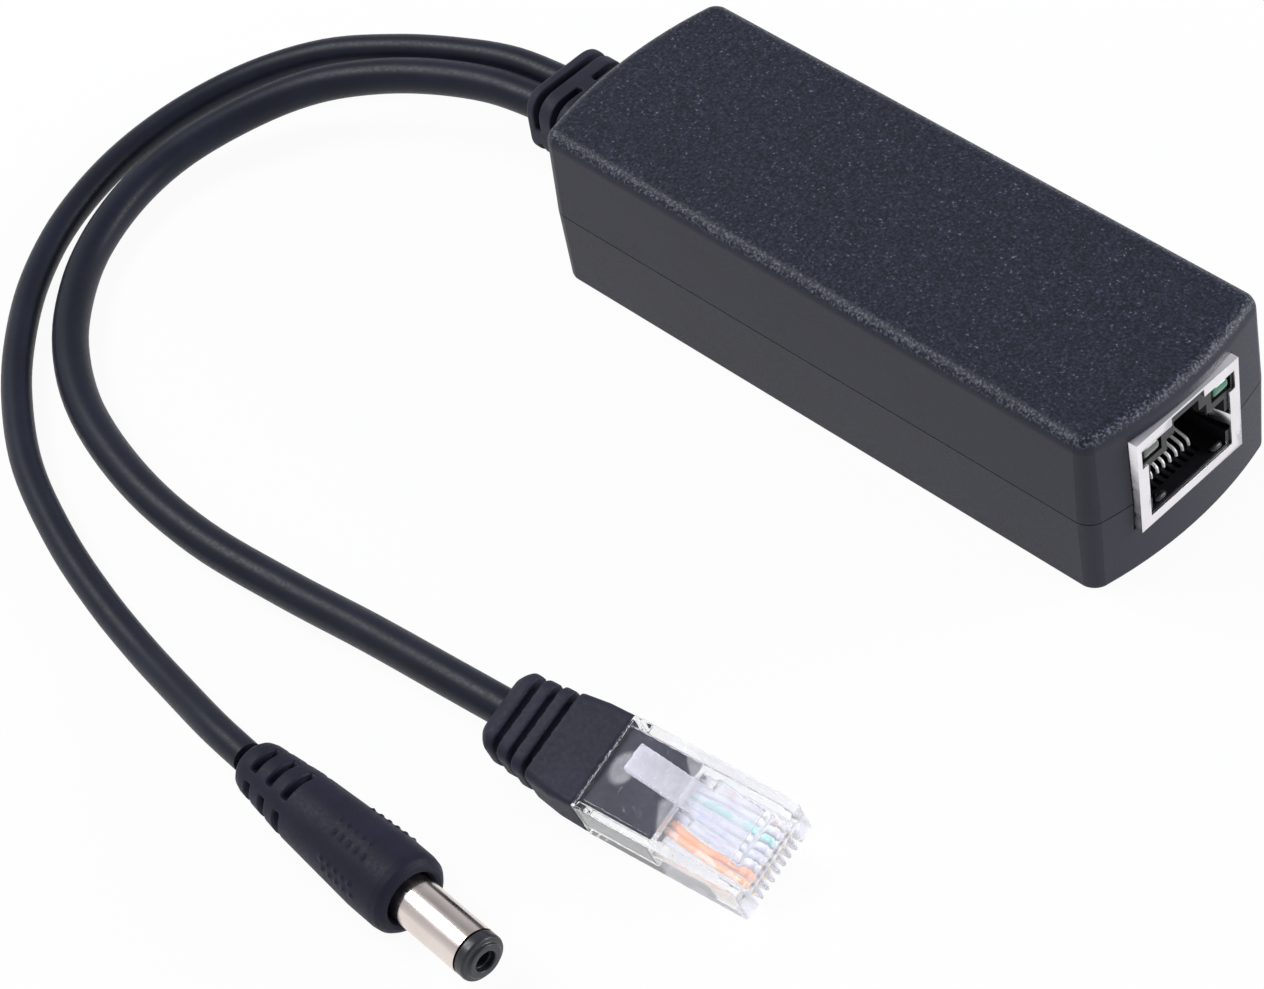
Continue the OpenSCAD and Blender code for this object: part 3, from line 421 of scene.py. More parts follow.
class Finish(Enum):
    """The finishes of the object, each with its maker."""

    CASE = GrainedCase()
    JACKET = SoftVinyl("lead_jacket")
    MOULDED_GRIP = SoftVinyl("moulded_grip", tone=(0.0112, 0.0118, 0.0255), roughness=0.55,
                              gloss=0.2)
    BOOT = SoftVinyl("boot_vinyl", tone=(0.0225, 0.0228, 0.0405), roughness=0.6, grain=1900.0,
                     depth=0.035 * MM, gloss=0.24)
    SHIELD = PlatedMetal("tinned_sheet", tone=(0.86, 0.835, 0.87), roughness=0.27,
                         marks=(0.1, 0.1, 1.0), mark_depth=0.0015 * MM)
    BARREL = PlatedMetal("nickel_barrel", tone=(0.81, 0.72, 0.67), roughness=0.22,
                         marks=(0.15, 1.0, 1.0), mark_depth=0.001 * MM)
    GOLD = PlatedMetal("gold_contact", tone=(1.0, 0.86, 0.6), roughness=0.2)
    SPRING = PlatedMetal("spring_wire", tone=(1.0, 0.99, 0.97), roughness=0.38, metallic=0.25)
    INSULATOR = Moulding("insulator", (0.0075, 0.0075, 0.0105), 0.38)
    TIP = Moulding("plug_tip", (0.017, 0.018, 0.024), 0.36)
    CLEAR = ClearResin("clear_housing")
    LAMP_CLEAR = Moulding("lamp_clear", (0.09, 0.1, 0.09), 0.18, coat=0.5)
    LAMP_GREEN = Moulding("lamp_green", (0.03, 0.145, 0.08), 0.16, coat=0.6)
    BOARD = Moulding("board_mask", (0.02, 0.12, 0.06), 0.3, coat=0.3)
    PACKAGE = Moulding("epoxy_package", (0.02, 0.02, 0.022), 0.55)
    FERRITE = Moulding("ferrite", (0.05, 0.05, 0.054), 0.6)
    BOBBIN = Moulding("wound_bobbin", (0.55, 0.36, 0.1), 0.35)
    CAN = Moulding("capacitor_sleeve", (0.02, 0.024, 0.06), 0.3)
    CORE_RED = Moulding("core_red", (0.4, 0.02, 0.015), 0.35)
    CORE_BLACK = Moulding("core_black", (0.015, 0.015, 0.017), 0.35)
    CORE_WHITE = Moulding("core_white", (0.78, 0.74, 0.7), 0.35)
    WIRE_ORANGE = BandedWire("wire_orange", (0.93, 0.4, 0.14), (0.95, 0.3, 0.06), cover=0.7)
    WIRE_PEACH = BandedWire("wire_peach", (0.94, 0.62, 0.42), (0.94, 0.38, 0.12), cover=0.65)
    WIRE_BLUE = BandedWire("wire_blue", (0.64, 0.66, 0.76), (0.44, 0.52, 0.74), cover=0.3)
    WIRE_TEAL = BandedWire("wire_teal", (0.62, 0.72, 0.75), (0.22, 0.64, 0.6), cover=0.45)
    WIRE_BROWN = BandedWire("wire_brown", (0.68, 0.63, 0.64), (0.54, 0.44, 0.4), cover=0.3)
    WIRE_WHITE = BandedWire("wire_white", (0.68, 0.67, 0.74), (0.58, 0.57, 0.68), cover=0.5)


class Paints:
    """Makes each finish once and puts it on pieces."""

    def __init__(self) -> None:
        """Starts with no material made."""
        self.made: dict[Finish, bpy.types.Material] = {}

    def get(self, finish: Finish) -> bpy.types.Material:
        """Returns the finish's material, made at its first use."""
        if finish not in self.made:
            self.made[finish] = finish.value.build()
        return self.made[finish]

    def coat(self, piece: bpy.types.Object, finish: Finish) -> bpy.types.Object:
        """Gives a piece this one finish."""
        piece.data.materials.clear()
        piece.data.materials.append(self.get(finish))
        return piece

    def dress(self, node: str, finish: Finish) -> None:
        """Gives a CAD node this finish in each of its slots."""
        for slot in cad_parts[node].material_slots:
            slot.material = self.get(finish)


PAINTS = Paints()


# Making pieces


def add_piece(name: str, data: bpy.types.ID) -> bpy.types.Object:
    """Links new data into the scene as an object."""
    made = bpy.data.objects.new(name, data)
    bpy.context.scene.collection.objects.link(made)
    return made


def settle(piece: bpy.types.Object, finish: Finish,
           replaced: Iterable[str] = ()) -> bpy.types.Object:
    """Finishes a piece and ties it to the model.

    Args:
        piece: The new piece, in its place.
        finish: Its finish.
        replaced: CAD nodes that the piece stands for.

    Returns:
        The same piece.
    """
    PAINTS.coat(piece, finish)
    names = list(replaced)
    if names:
        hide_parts(*names)
    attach(piece, ROOT)
    LOG.info("%s stands for %s", piece.name, ", ".join(names) or "nothing")
    return piece


def apply_modifiers(piece: bpy.types.Object) -> None:
    """Turns a piece's modifiers into its mesh."""
    graph = bpy.context.evaluated_depsgraph_get()
    graph.update()
    mesh = bpy.data.meshes.new_from_object(piece.evaluated_get(graph))
    piece.modifiers.clear()
    piece.data = mesh


def softened_copy(node: str, name: str, voxel: float, rounds: int,
                  extras: Sequence[bpy.types.Object] = ()) -> bpy.types.Object:
    """Copies a CAD solid and rounds its edges as a soft moulding has them.

    Args:
        node: The CAD node to copy.
        name: Name of the new piece.
        voxel: Size of the new mesh's cells.
        rounds: Number of smoothing passes.
        extras: Small forms that become part of the piece.

    Returns:
        The new piece, smooth shaded.
    """
    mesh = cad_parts[node].data.copy()
    piece = add_piece(name, mesh)
    if extras:
        form = bmesh.new()
        form.from_mesh(mesh)
        for extra in extras:
            form.from_mesh(extra.data)
            bpy.data.objects.remove(extra)
        form.to_mesh(mesh)
        form.free()
    remesh = piece.modifiers.new("cells", "REMESH")
    remesh.mode = "VOXEL"
    remesh.voxel_size = voxel
    smooth = piece.modifiers.new("soften", "SMOOTH")
    smooth.factor = 0.5
    smooth.iterations = rounds
    apply_modifiers(piece)
    for face in piece.data.polygons:
        face.use_smooth = True
    return piece


def bevelled_copy(node: str, name: str, width: float, segments: int = 3) -> bpy.types.Object:
    """Copies a CAD solid and rolls its sharp edges as pressed sheet has them.

    Args:
        node: The CAD node to copy.
        name: Name of the new piece.
        width: Width of the rolled edge.
        segments: Number of faces across the edge.

    Returns:
        The new piece, smooth shaded with flat faces kept flat.
    """
    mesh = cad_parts[node].data.copy()
    form = bmesh.new()
    form.from_mesh(mesh)
    bmesh.ops.remove_doubles(form, verts=form.verts, dist=0.002 * MM)
    bmesh.ops.dissolve_limit(form, angle_limit=math.radians(1.0), verts=form.verts,
                             edges=form.edges)
    form.to_mesh(mesh)
    form.free()
    piece = add_piece(name, mesh)
    roll = piece.modifiers.new("roll", "BEVEL")
    roll.width = width
    roll.segments = segments
    roll.limit_method = "ANGLE"
    roll.angle_limit = math.radians(40)
    roll.harden_normals = True
    apply_modifiers(piece)
    for face in piece.data.polygons:
        face.use_smooth = True
    return piece


def mesh_piece(name: str, points: np.ndarray, faces: Sequence[Sequence[int]],
               place: Matrix) -> bpy.types.Object:
    """Makes a smooth shaded piece from points in millimetres in its own frame.

    Args:
        name: Name of the new piece.
        points: One row of x, y and z for each vertex.
        faces: Vertex numbers of each face.
        place: The frame's place in the model, in metres.

    Returns:
        The new piece.
    """
    mesh = bpy.data.meshes.new(name)
    mesh.from_pydata([tuple(place @ (Vector(p) * MM)) for p in points], [], faces)
    mesh.validate()
    for face in mesh.polygons:
        face.use_smooth = True
    return add_piece(name, mesh)


def ring_faces(rings: int, around: int, closed: bool = True) -> list[tuple[int, ...]]:
    """Returns the quads between rings of points, with both ends capped.

    Args:
        rings: Number of rings.
        around: Number of points on each ring.
        closed: Whether the first and the last ring get a face.

    Returns:
        The faces' vertex numbers.
    """
    faces: list[tuple[int, ...]] = []
    for i in range(rings - 1):
        for k in range(around):
            a, b = i * around + k, i * around + (k + 1) % around
            faces.append((a, b, b + around, a + around))
    if closed:
        faces.append(tuple(range(around - 1, -1, -1)))
        faces.append(tuple((rings - 1) * around + k for k in range(around)))
    return faces


def tube(name: str, line: Sequence[Point], radius: float, place: Matrix,
         around: int = 12, steps: int = 6) -> bpy.types.Object:
    """Makes a round wire along a smooth line.

    Args:
        name: Name of the new piece.
        line: The centre line's points in millimetres.
        radius: The wire's radius in millimetres.
        place: The frame's place in the model.
        around: Number of points round the wire.
        steps: Number of steps between two points.

    Returns:
        The new piece.
    """
    path = [p / MM for p in smooth_route(line, steps)]
    rows = []
    side = Vector((0.0, 1.0, 0.0))
    for i, p in enumerate(path):
        ahead = (path[min(i + 1, len(path) - 1)] - path[max(i - 1, 0)]).normalized()
        up = ahead.cross(side).normalized()
        out = up.cross(ahead).normalized()
        for k in range(around):
            a = 2 * math.pi * k / around
            rows.append(p + radius * (math.cos(a) * up + math.sin(a) * out))
    return mesh_piece(name, np.array(rows), ring_faces(len(path), around), place)


def step_between(value: np.ndarray, low: float, high: float) -> np.ndarray:
    """Returns a smooth step from 0 at low to 1 at high, low being either side of high."""
    share = np.clip((value - low) / (high - low), 0.0, 1.0)
    return share * share * (3.0 - 2.0 * share)


def profile_rows(profile: Sequence[tuple[float, float]], step: float) -> np.ndarray:
    """Returns points at an even step along a profile of lengths and radii."""
    p = np.array(profile, dtype=float)
    run = np.concatenate([[0.0], np.cumsum(np.linalg.norm(np.diff(p, axis=0), axis=1))])
    at = np.linspace(0.0, run[-1], max(2, int(run[-1] / step)))
    return np.stack([np.interp(at, run, p[:, 0]), np.interp(at, run, p[:, 1])], axis=1)


# Leads


def curve_between(before: Vector, a: Vector, b: Vector, after: Vector, t: float) -> Vector:
    """Returns a point on the smooth curve from a to b, as the part's source has it."""
    return 0.5 * (2 * a + (b - before) * t + (2 * before - 5 * a + 4 * b - after) * t * t
                  + (3 * a - before - 3 * b + after) * t * t * t)


def smooth_route(points: Sequence[Point], steps: int) -> list[Vector]:
    """Returns the smooth centre line through a lead's route.

    Args:
        points: The route in millimetres.
        steps: Number of steps between two points.

    Returns:
        Points in metres.
    """
    p = [Vector(q) * MM for q in points]
    line = [
        curve_between(p[max(i - 1, 0)], p[i], p[i + 1], p[min(i + 2, len(p) - 1)], k / steps)
        for i in range(len(p) - 1)
        for k in range(steps)
    ]
    return line + [p[-1]]


def line_length(line: Sequence[Vector]) -> float:
    """Returns the length of a line of points."""
    return sum((b - a).length for a, b in zip(line, line[1:]))


DC_PLUG_AT = Vector((-11.5, -88.8, 4.8)) * MM
DC_PLUG_TURN = Matrix.Rotation(math.radians(-3.8), 4, "Z")
DATA_PLUG = (
    Matrix.Translation(Vector((20.0, -65.5, 1.7)) * MM)
    @ Matrix.Rotation(math.radians(6.0), 4, "Z")
    @ Matrix.Rotation(math.radians(15.0), 4, "X")
)
BOOT_REAR = DATA_PLUG @ (Vector((-13.9, 0.65, 3.5)) * MM)


@dataclass
class Lead:
    """One free lead: its route, thickness and the pieces that are on it."""

    name: str
    node: str
    route: Sequence[Point]
    diameter: float
    carried: Sequence[str]
    steps: int = 6

    def build(self) -> bpy.types.Object:
        line = smooth_route(self.route, self.steps)
        curve = bpy.data.curves.new(self.name, "CURVE")
        curve.dimensions = "3D"
        spline = curve.splines.new("POLY")
        spline.points.add(len(line) - 1)
        for spot, point in zip(spline.points, line):
            spot.co = (*point, 1.0)
        spline.use_smooth = True
        curve.bevel_depth = self.diameter / 2
        curve.bevel_resolution = 8
        curve.use_fill_caps = True
        piece = add_piece(self.name, curve)
        settle(piece, Finish.JACKET, [self.node])
        LOG.info("%s is %.1f mm long", self.name, line_length(line) / MM)
        return piece


DC_ROUTE: tuple[Point, ...] = (
    (-53, 2, 10.4), (-62, 1, 10.1), (-70, -1.2, 9), (-78, -4.4, 7.6), (-86, -9, 5.9),
    (-92, -16, 4.2), (-95.5, -25, 2.8), (-96, -35, 2), (-93.3, -45.3, 1.9),
    (-88.5, -54.3, 1.9), (-82.2, -62, 1.9), (-74.9, -68.6, 1.9), (-65.5, -74.8, 1.9),
    (-54, -79.6, 1.9), (-43.5, -82.7, 1.9), (-34, -84.8, 2.1), (-25.5, -86.5, 3.1),
    (-18, -88, 4.3), (-11.5, -88.8, 4.8),
)
DATA_ROUTE: tuple[Point, ...] = (
    (-53, -2.3, 10.4), (-61, -3.5, 10.1), (-69, -6.1, 9.2), (-76, -9.6, 8),
    (-82, -14.2, 6.6), (-86.3, -20.5, 5.2), (-89.3, -29, 3.8), (-89.6, -37, 2.8),
    (-87.2, -45.3, 2.3), (-82.8, -52.5, 2.2), (-76, -59.4, 2.2), (-66.5, -65, 2.2),
    (-54.1, -68.6, 2.2), (-41.5, -69.8, 2.2), (-28, -69, 2.4), (-15, -68.2, 3.6),
    (-3, -67.8, 4.8), tuple(BOOT_REAR / MM),
)


# Sub-assemblies


@dataclass
class Case:
    """The two halves of the case."""

    halves: Sequence[str] = ("upper_case", "lower_case")

    def build(self) -> None:
        """Dresses the halves, whose solids have the real form."""
        for half in self.halves:
            PAINTS.dress(half, Finish.CASE)


@dataclass
class NetworkJack:
    """The shielded jack in the case's bowed end."""

    contacts: int = 8
    middle: float = -0.6
    pitch: float = 1.02
    wire_r: float = 0.19
    spring: Sequence[tuple[float, float]] = (
        (31.6, 10.3), (34.5, 9.72), (37.2, 9.08), (38.25, 8.8), (38.62, 8.5), (38.72, 7.9),
    )
    rolled_edge: float = 0.16 * MM
    ridge_r: float = 0.42
    ridge_z: float = 8.28
    ridges: Sequence[tuple[float, float]] = ((-5.7, -4.0), (3.4, 5.1))
    ridge_x: float = 41.35
    ridge_end: float = 0.55
    ridge_steps: int = 4
    ridge_around: int = 14
    lens_voxel: float = 0.1 * MM
    lens_rounds: int = 50

    def springs(self) -> None:
        """Makes the spring wires that bend over behind the comb."""
        for i in range(1, self.contacts + 1):
            y = self.middle + (i - (self.contacts + 1) / 2) * self.pitch
            line = [(x, y, z) for x, z in self.spring]
            wire = tube(f"jack_spring_{i}", line, self.wire_r, Matrix.Identity(4))
            settle(wire, Finish.SPRING, [f"jack_contact_{i}"])

    def floor_ridges(self) -> None:
        """Makes the two smooth stops on the socket's floor, just behind the window."""
        for name, (low, high) in zip(("left", "right"), self.ridges):
            rows = []
            for k in range(self.ridge_steps + 1):
                y = low + (high - low) * k / self.ridge_steps
                r = self.ridge_r * (self.ridge_end if k in (0, self.ridge_steps) else 1.0)
                for j in range(self.ridge_around):
                    a = 2 * math.pi * j / self.ridge_around
                    rows.append((self.ridge_x + r * math.cos(a), y, self.ridge_z + r * math.sin(a)))
            faces = ring_faces(self.ridge_steps + 1, self.ridge_around)
            ridge = mesh_piece(f"socket_stop_{name}", np.array(rows), faces, Matrix.Identity(4))
            settle(ridge, Finish.INSULATOR)

    def build(self) -> None:
        """Makes the shield, lamps and springs, and dresses the housing."""
        shield = bevelled_copy("jack_shield", "jack_shield_sheet", self.rolled_edge)
        settle(shield, Finish.SHIELD, ["jack_shield"])
        PAINTS.dress("jack_housing", Finish.INSULATOR)
        lamps = (("left", Finish.LAMP_CLEAR, "lamp_clear"), ("right", Finish.LAMP_GREEN, "lamp_green"))
        for side, finish, slot in lamps:
            node = f"jack_lamp_{side}"
            lens = softened_copy(node, f"jack_lens_{side}", self.lens_voxel, self.lens_rounds)
            settle(lens, finish, [node])
        self.springs()
        self.floor_ridges()


@dataclass
class Board:
    """The circuit board and its parts, closed in by the case."""

    finishes: dict[str, Finish] = field(default_factory=lambda: {
        "circuit_board": Finish.BOARD,
        "line_transformer": Finish.PACKAGE,
        "power_core": Finish.FERRITE,
        "power_winding": Finish.BOBBIN,
        "input_capacitor": Finish.CAN,
        "output_capacitor": Finish.CAN,
        "choke": Finish.FERRITE,
        "bridge_rectifier_1": Finish.PACKAGE,
        "bridge_rectifier_2": Finish.PACKAGE,
        "controller_chip": Finish.PACKAGE,
        "output_diode": Finish.PACKAGE,
        "dc_lead_positive": Finish.CORE_RED,
        "dc_lead_negative": Finish.CORE_BLACK,
        "data_leads": Finish.CORE_WHITE,
    })

    def build(self) -> None:
        """Dresses the board's pieces."""
        for node, finish in self.finishes.items():
            PAINTS.dress(node, finish)


@dataclass
class StrainRelief:
    """The soft moulding that holds both leads at the case."""

    voxel: float = 0.16 * MM

    def build(self) -> bpy.types.Object:
        """Makes the softened moulding."""
        piece = softened_copy("strain_relief", "relief_moulding", self.voxel, 3)
        return settle(piece, Finish.BOOT, ["strain_relief"])


@dataclass
class PowerPlug:
    """The barrel plug: moulded grip, metal barrel, tip and contact."""

    profile: Sequence[tuple[float, float]] = (
        (4.2, 1.79), (0.75, 1.79), (0.9, 2.1), (1.15, 2.5), (1.6, 2.88), (2.4, 3.12), (9.0, 3.875),
        (21.8, 4.65), (25.7, 4.65), (26.6, 4.5), (27.2, 4.05), (27.4, 3.6), (27.2, 3.2),
        (26.5, 2.95), (25.4, 2.85), (24.4, 2.85),
    )
    slots: Sequence[float] = (3.95, 6.75, 9.55)
    slot_half: float = 0.42
    slot_turn: float = 31.0
    slot_depth: float = 1.05
    slot_wall: tuple[float, float] = (0.16, -0.14)
    slot_end: float = 4.0
    skin_from_r: float = 2.95
    skin_end: float = 26.0
    dot_rows: Sequence[tuple[float, float]] = (
        (3.0, 17.0), (21.0, 17.6), (62.0, 17.6), (76.0, 18.1), (-58.0, 17.0), (-72.0, 17.6),
    )
    dots_a_row: int = 5
    dot_pitch: float = 1.22
    dot_r: float = 0.27
    dot_rise: float = 0.2
    step: float = 0.12
    tip_step: float = 0.08
    around: int = 168
    tip_profile: Sequence[tuple[float, float]] = (
        (37.1, 1.3), (37.1, 2.7), (38.1, 2.73), (38.35, 2.6), (38.42, 2.2), (38.5, 2.12),
        (38.75, 2.05), (38.8, 1.9), (38.8, 1.35), (38.7, 1.25), (38.1, 1.22), (38.0, 1.12),
        (37.2, 1.1),
    )

    def frame_matrix(self) -> Matrix:
        """Returns the plug's frame: x along the plug, z up."""
        return Matrix.Translation(DC_PLUG_AT) @ DC_PLUG_TURN

    def lathe(self, name: str, rows: np.ndarray, lift: np.ndarray) -> bpy.types.Object:
        """Turns a profile about the plug's axis.

        Args:
            name: Name of the new piece.
            rows: Length and radius of each ring in millimetres.
            lift: Height added to each point, one row for each ring.

        Returns:
            The new piece.
        """
        turn = np.radians(np.arange(self.around) * 360.0 / self.around)
        radius = rows[:, 1:2] + lift
        points = np.stack([np.repeat(rows[:, 0:1], self.around, axis=1),
                           -radius * np.sin(turn), radius * np.cos(turn)], axis=2)
        faces = ring_faces(len(rows), self.around, closed=False)
        return mesh_piece(name, points.reshape(-1, 3), faces, self.frame_matrix())

    def relief(self, rows: np.ndarray) -> np.ndarray:
        """Returns the grip's flexing slots and finger dots as heights over its profile."""
        turn = np.arange(self.around) * 360.0 / self.around
        skin = (rows[:, 1] > self.skin_from_r) & (rows[:, 0] < self.skin_end)
        lift = np.zeros((len(rows), self.around))
        quarter = np.abs((turn + 45.0) % 90.0 - 45.0)
        across = step_between(quarter, self.slot_turn + self.slot_end,
                              self.slot_turn - self.slot_end)
        outside, inside = (self.slot_half + w for w in self.slot_wall)
        for at in self.slots:
            off = np.abs(rows[:, 0] - at)
            deep = step_between(off, outside, inside)
            lift -= self.slot_depth * deep[:, None] * across[None, :]
        for row_turn, start in self.dot_rows:
            for k in range(self.dots_a_row):
                along = rows[:, 0] - (start + k * self.dot_pitch)
                arc = np.radians((turn - row_turn + 180.0) % 360.0 - 180.0)
                apart = along[:, None] ** 2 + (rows[:, 1:2] * arc[None, :]) ** 2
                lift += self.dot_rise * np.exp(-apart / self.dot_r ** 2)
        return lift * skin[:, None]

    def build(self) -> None:
        """Makes the grip and the tip, and dresses the metal."""
        rows = profile_rows(self.profile, self.step)
        grip = self.lathe("power_plug_grip", rows, self.relief(rows))
        settle(grip, Finish.MOULDED_GRIP, ["dc_plug_grip"])
        rows = profile_rows(self.tip_profile, self.tip_step)
        tip = self.lathe("power_plug_tip", rows, np.zeros((len(rows), self.around)))
        settle(tip, Finish.TIP, ["dc_plug_tip"])
        PAINTS.dress("dc_plug_barrel", Finish.BARREL)
        PAINTS.dress("dc_plug_contact", Finish.BARREL)


@dataclass(frozen=True)
class ResinClouds:
    """Where the clear plug is clouded, in millimetres in the plug's frame."""

    tongue_edge: Sequence[tuple[float, float]] = (
        (-5.0, 10.3), (-3.8, 9.6), (-1.6, 8.3), (-0.9, 8.0), (0.4, 9.4), (2.6, 9.7), (3.6, 8.4),
        (5.0, 7.2),
    )
    edge_fade: tuple[float, float] = (-0.15, 0.25)
    rear: float = 0.008
    front: float = 0.16
    cavity: float = 0.2
    cavity_x: tuple[float, float] = (9.3, 20.2)
    cavity_half_w: float = 4.5
    cavity_half_h: float = 0.75
    clamp: float = 0.3
    # Cloud over the clamp: the pressed clamp itself, with painted shade from the lever's tip above it.
    clamp_at: tuple[float, float] = (2.6, 0.2)
    clamp_radii: tuple[float, float] = (1.7, 2.3)
    clamp_fade: float = 0.4
    clamp_skin: tuple[float, float] = (-0.5, 0.3)
    comb: float = 0.35
    comb_x: tuple[float, float] = (19.6, 20.4)
    comb_z: tuple[float, float] = (4.2, 3.2)
    lever_rise: float = 0.12
    lever_root: float = 20.0
    lever_fade: Sequence[tuple[float, float]] = (
        (6.4, 0.62), (9.0, 0.5), (12.0, 0.36), (14.0, 0.13),
    )
    rim: float = 0.75
    rim_bend: tuple[float, float] = (0.16, 0.42)

    def at(self, points: np.ndarray, bent: np.ndarray, wire_z: float,
           top: float) -> np.ndarray:
        """Returns how clouded the clear moulding is at each point.

        Args:
            points: Points in the plug's frame, in millimetres.
            bent: How far the surface bends outward at each point.
            wire_z: Height of the wires' plane.
            top: Height of the housing's top.

        Returns:
            A value from 0, clear, to 1, opaque white, for each point.
        """
        x, y, z = points.T
        edge = np.interp(y, *np.array(self.tongue_edge).T)
        cloud = self.rear + self.front * step_between(x - edge, *self.edge_fade)
        inside = (np.abs(z - wire_z) < self.cavity_half_h) & (np.abs(y) < self.cavity_half_w)
        inside &= (x > self.cavity_x[0]) & (x < self.cavity_x[1])
        cloud = np.where(inside, self.cavity, cloud)
        # The patch over the clamp is clouded both for the pressed clamp and as painted shade from the
        # lever's tip.
        clamp = 1.0 - np.hypot((x - self.clamp_at[0]) / self.clamp_radii[0],
                               (y - self.clamp_at[1]) / self.clamp_radii[1])
        skin = (z > top + self.clamp_skin[0]) & (z < top + self.clamp_skin[1])
        clamp_and_lever_shade = cloud + self.clamp * step_between(clamp, 0.0, self.clamp_fade)
        cloud = np.where(skin, clamp_and_lever_shade, cloud)
        cloud += self.comb * step_between(x, *self.comb_x) * step_between(z, *self.comb_z)
        lever = (z > top + self.lever_rise) & (x < self.lever_root)
        cloud = np.where(lever, np.interp(x, *np.array(self.lever_fade).T), cloud)
        return np.clip(cloud + self.rim * step_between(bent, *self.rim_bend), 0.0, 1.0)


@dataclass
class DataPlug:
    """The clear modular plug and its boot."""

    voxel: float = 0.17 * MM
    shell_voxel: float = 0.16 * MM
    housing_h: float = 6.6
    wire_z: float = 3.6
    wire_r: float = 0.42
    wire_x: tuple[float, float] = (9.55, 19.6)
    pitch: float = 1.02
    bunch: Sequence[float] = (-2.75, -1.75, -0.8, 0.1, 0.95, 1.8, 2.6, 3.4)
    sway: float = 0.16
    rib: tuple[float, float] = (11.6, 13.4)
    rib_reach: float = 0.5
    rib_widening: float = 0.05
    rib_middle: float = 0.5
    clouds: ResinClouds = ResinClouds()
    wires: Sequence[Finish] = (
        Finish.WIRE_PEACH, Finish.WIRE_ORANGE, Finish.WIRE_WHITE, Finish.WIRE_BLUE,
        Finish.WIRE_WHITE, Finish.WIRE_TEAL, Finish.WIRE_WHITE, Finish.WIRE_BROWN,
    )

    def boot(self) -> bpy.types.Object:
        """Makes the boot with its full rounded rear rib."""
        piece = softened_copy("data_plug_boot", "data_plug_boot_moulding", self.voxel, 3)
        back = DATA_PLUG.inverted()
        for vertex in piece.data.vertices:
            p = back @ vertex.co / MM
            full = float(step_between(np.array(-p.x), *self.rib))
            p.y += self.rib_widening * full * (p.y - self.rib_middle)
            p.x -= self.rib_reach * full
            vertex.co = DATA_PLUG @ (p * MM)
        return settle(piece, Finish.BOOT, ["data_plug_boot"])

    def shell(self) -> bpy.types.Object:
        """Makes the clear moulding with its soft edges and frosted lever."""
        piece = softened_copy("data_plug_housing", "data_plug_shell", self.shell_voxel, 2)
        mesh = piece.data
        count = len(mesh.vertices)
        spots = np.empty(count * 3)
        mesh.vertices.foreach_get("co", spots)
        spots = spots.reshape(-1, 3)
        normals = np.array([v.normal for v in mesh.vertices])
        ends = np.array([e.vertices for e in mesh.edges])
        apart = spots[ends[:, 1]] - spots[ends[:, 0]]
        apart /= np.linalg.norm(apart, axis=1, keepdims=True) + 1e-12
        bent, near = np.zeros(count), np.zeros(count)
        for own, sign in ((ends[:, 0], -1.0), (ends[:, 1], 1.0)):
            np.add.at(bent, own, sign * np.einsum("ij,ij->i", apart, normals[own]))
            np.add.at(near, own, 1.0)
        turn = np.array(DATA_PLUG.inverted())
        local = (spots @ turn[:3, :3].T + turn[:3, 3]) / MM
        layer = mesh.attributes.new(CLOUD, "FLOAT", "POINT")
        bent /= np.maximum(near, 1.0)
        cloud = self.clouds.at(local, bent, self.wire_z, self.housing_h)
        layer.data.foreach_set("value", cloud)
        return settle(piece, Finish.CLEAR, ["data_plug_housing"])

    def wire_pieces(self) -> None:
        """Makes the wires, which fan out from the tongue to the contacts."""
        start, end = self.wire_x
        for i, (finish, rear) in enumerate(zip(self.wires, self.bunch), start=1):
            y = (i - 4.5) * self.pitch
            sway = self.sway * math.sin(i * 2.1)
            line = [
                (start, rear, self.wire_z),
                (start + 2.6, 0.45 * rear + 0.55 * y + sway, self.wire_z),
                (start + 5.2, 0.12 * rear + 0.88 * y + sway, self.wire_z),
                (start + 7.6, y, self.wire_z), (end, y, self.wire_z),
            ]
            piece = tube(f"plug_core_{i}", line, self.wire_r, DATA_PLUG)
            settle(piece, finish, [f"data_plug_wire_{i}"])

    @staticmethod
    def slot_name(finish: Finish) -> str:
        """Returns the record's slot that a wire's finish belongs to."""
        name = finish.name.lower()
        return "wire_orange" if name == "wire_peach" else name

    def build(self) -> None:
        """Makes the boot, the shell and the wires, and dresses the contacts."""
        self.boot()
        self.shell()
        self.wire_pieces()
        for i in range(1, len(self.wires) + 1):
            PAINTS.dress(f"data_plug_contact_{i}", Finish.GOLD)


# Studio


@dataclass(frozen=True)
class Softbox:
    """One rectangular area light that faces the model."""

    name: str
    at: Point
    size: tuple[float, float]
    power: float
    aim: Point = (0.0, -0.03, 0.0)

    def build(self) -> None:
        """Adds the light to the scene."""
        data = bpy.data.lights.new(self.name, "AREA")
        data.shape = "RECTANGLE"
        data.size, data.size_y = self.size
        data.energy = self.power
        made = add_piece(self.name, data)
        made.location = self.at
        ahead = Vector(self.aim) - Vector(self.at)
        made.rotation_euler = ahead.to_track_quat("-Z", "Y").to_euler()


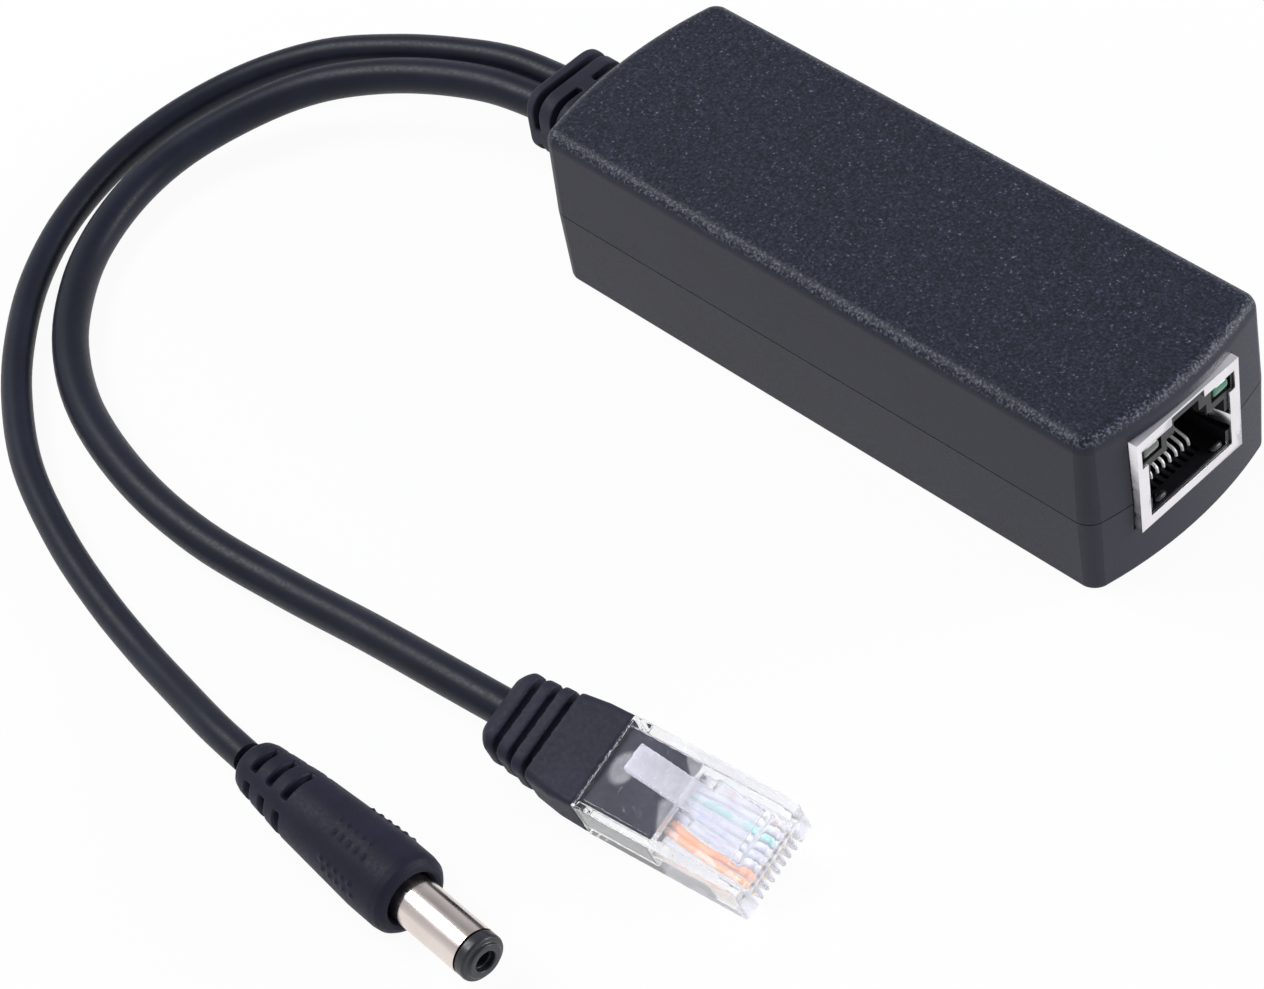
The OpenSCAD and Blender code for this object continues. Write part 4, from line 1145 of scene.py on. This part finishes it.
@dataclass
class Studio:
    """Camera, floor and soft light."""

    azimuth: float = 52.441
    elevation: float = 46.272
    roll: float = -10.684
    focal_px: float = 4505.825
    image_w: float = 1264.0
    sensor: float = 36.0
    eye: Point = (0.261358, -0.242650, 0.357264)
    lights: Sequence[Softbox] = (
        Softbox("key", (-0.5, -0.27, 0.7), (0.42, 0.3), 4.6),
        Softbox("fill", (0.6, 0.6, 0.3), (0.5, 0.3), 6.0),
    )
    floor_size: float = 4.0
    floor_z: float = -0.00005
    floor_tone: Point = (0.82, 0.82, 0.83)
    floor_white: float = 0.94
    sky_low: tuple[float, Point] = (0.1, (0.95, 0.96, 1.0))
    sky_high: tuple[float, Point] = (0.75, (0.42, 0.43, 0.46))
    sky_strength: float = 0.8

    def camera(self) -> None:
        """Sets the camera at the photograph's viewing angle."""
        az, el, roll = (math.radians(a) for a in (self.azimuth, self.elevation, self.roll))
        back = Vector((math.sin(az) * math.cos(el), -math.cos(az) * math.cos(el), math.sin(el)))
        right = Vector((math.cos(az), math.sin(az), 0.0))
        up = back.cross(right)
        x = right * math.cos(roll) + up * math.sin(roll)
        y = up * math.cos(roll) - right * math.sin(roll)
        data = bpy.data.cameras.new("camera")
        data.sensor_width = self.sensor
        data.lens = self.focal_px * self.sensor / self.image_w
        data.clip_start = 0.01
        made = add_piece("camera", data)
        turn = Matrix((x, y, back)).transposed().to_4x4()
        made.matrix_world = Matrix.Translation(Vector(self.eye)) @ turn
        bpy.context.scene.camera = made

    def floor(self) -> None:
        """Adds the pale floor, which keeps a faint shadow."""
        form = bmesh.new()
        bmesh.ops.create_grid(form, x_segments=1, y_segments=1, size=self.floor_size)
        mesh = bpy.data.meshes.new("floor")
        form.to_mesh(mesh)
        form.free()
        made = add_piece("floor", mesh)
        made.location = (0.0, 0.0, self.floor_z)
        g = Graph("pale_floor")
        paths = g.node("LightPath")
        seen = g.math("MAXIMUM", paths.outputs["Is Camera Ray"], paths.outputs["Is Glossy Ray"])
        seen = g.math("MAXIMUM", seen, paths.outputs["Is Transmission Ray"])
        plain = g.node("BsdfDiffuse", Color=(*self.floor_tone, 1.0))
        white = g.node("Emission", Color=(1.0, 1.0, 1.0, 1.0), Strength=1.0)
        mixed = g.node("MixShader")
        g.link(g.math("MULTIPLY", seen, self.floor_white), mixed.inputs["Fac"])
        g.link(plain.outputs["BSDF"], mixed.inputs[1])
        g.link(white.outputs["Emission"], mixed.inputs[2])
        g.link(mixed.outputs["Shader"], g.output.inputs["Surface"])
        made.data.materials.append(g.material)

    def world(self) -> None:
        """Sets a plain pale world."""
        world = bpy.data.worlds.new("studio")
        bpy.context.scene.world = world
        world.use_nodes = True
        tree = world.node_tree
        place = tree.nodes.new("ShaderNodeTexCoord")
        split = tree.nodes.new("ShaderNodeSeparateXYZ")
        tree.links.new(place.outputs["Generated"], split.inputs["Vector"])
        ramp = tree.nodes.new("ShaderNodeValToRGB")
        for stop, (place_z, colour) in zip(ramp.color_ramp.elements, (self.sky_low, self.sky_high)):
            stop.position = place_z
            stop.color = (*colour, 1.0)
        tree.links.new(split.outputs["Z"], ramp.inputs["Fac"])
        back = tree.nodes["Background"]
        tree.links.new(ramp.outputs["Color"], back.inputs["Color"])
        back.inputs["Strength"].default_value = self.sky_strength

    def build(self) -> None:
        """Builds the whole studio."""
        self.camera()
        self.floor()
        self.world()
        for light in self.lights:
            light.build()
        bpy.context.scene.view_settings.view_transform = "Standard"


def main() -> None:
    """Builds every piece in order."""
    logging.basicConfig(level=logging.INFO, format="%(name)s: %(message)s")
    Studio().build()
    Case().build()
    NetworkJack().build()
    Board().build()
    StrainRelief().build()
    PowerPlug().build()
    DataPlug().build()
    blades = [f"data_plug_contact_{i}" for i in range(1, 9)]
    cores = [f"plug_core_{i}" for i in range(1, 9)]
    Lead("power_lead", "dc_cord", DC_ROUTE, 3.6 * MM,
         ["relief_moulding", "power_plug_grip", "dc_plug_barrel", "power_plug_tip",
          "dc_plug_contact"]).build()
    Lead("data_lead", "data_cord", DATA_ROUTE, 4.3 * MM,
         ["relief_moulding", "data_plug_boot_moulding", "data_plug_shell", *blades, *cores]).build()


if __name__ == "__main__":
    main()
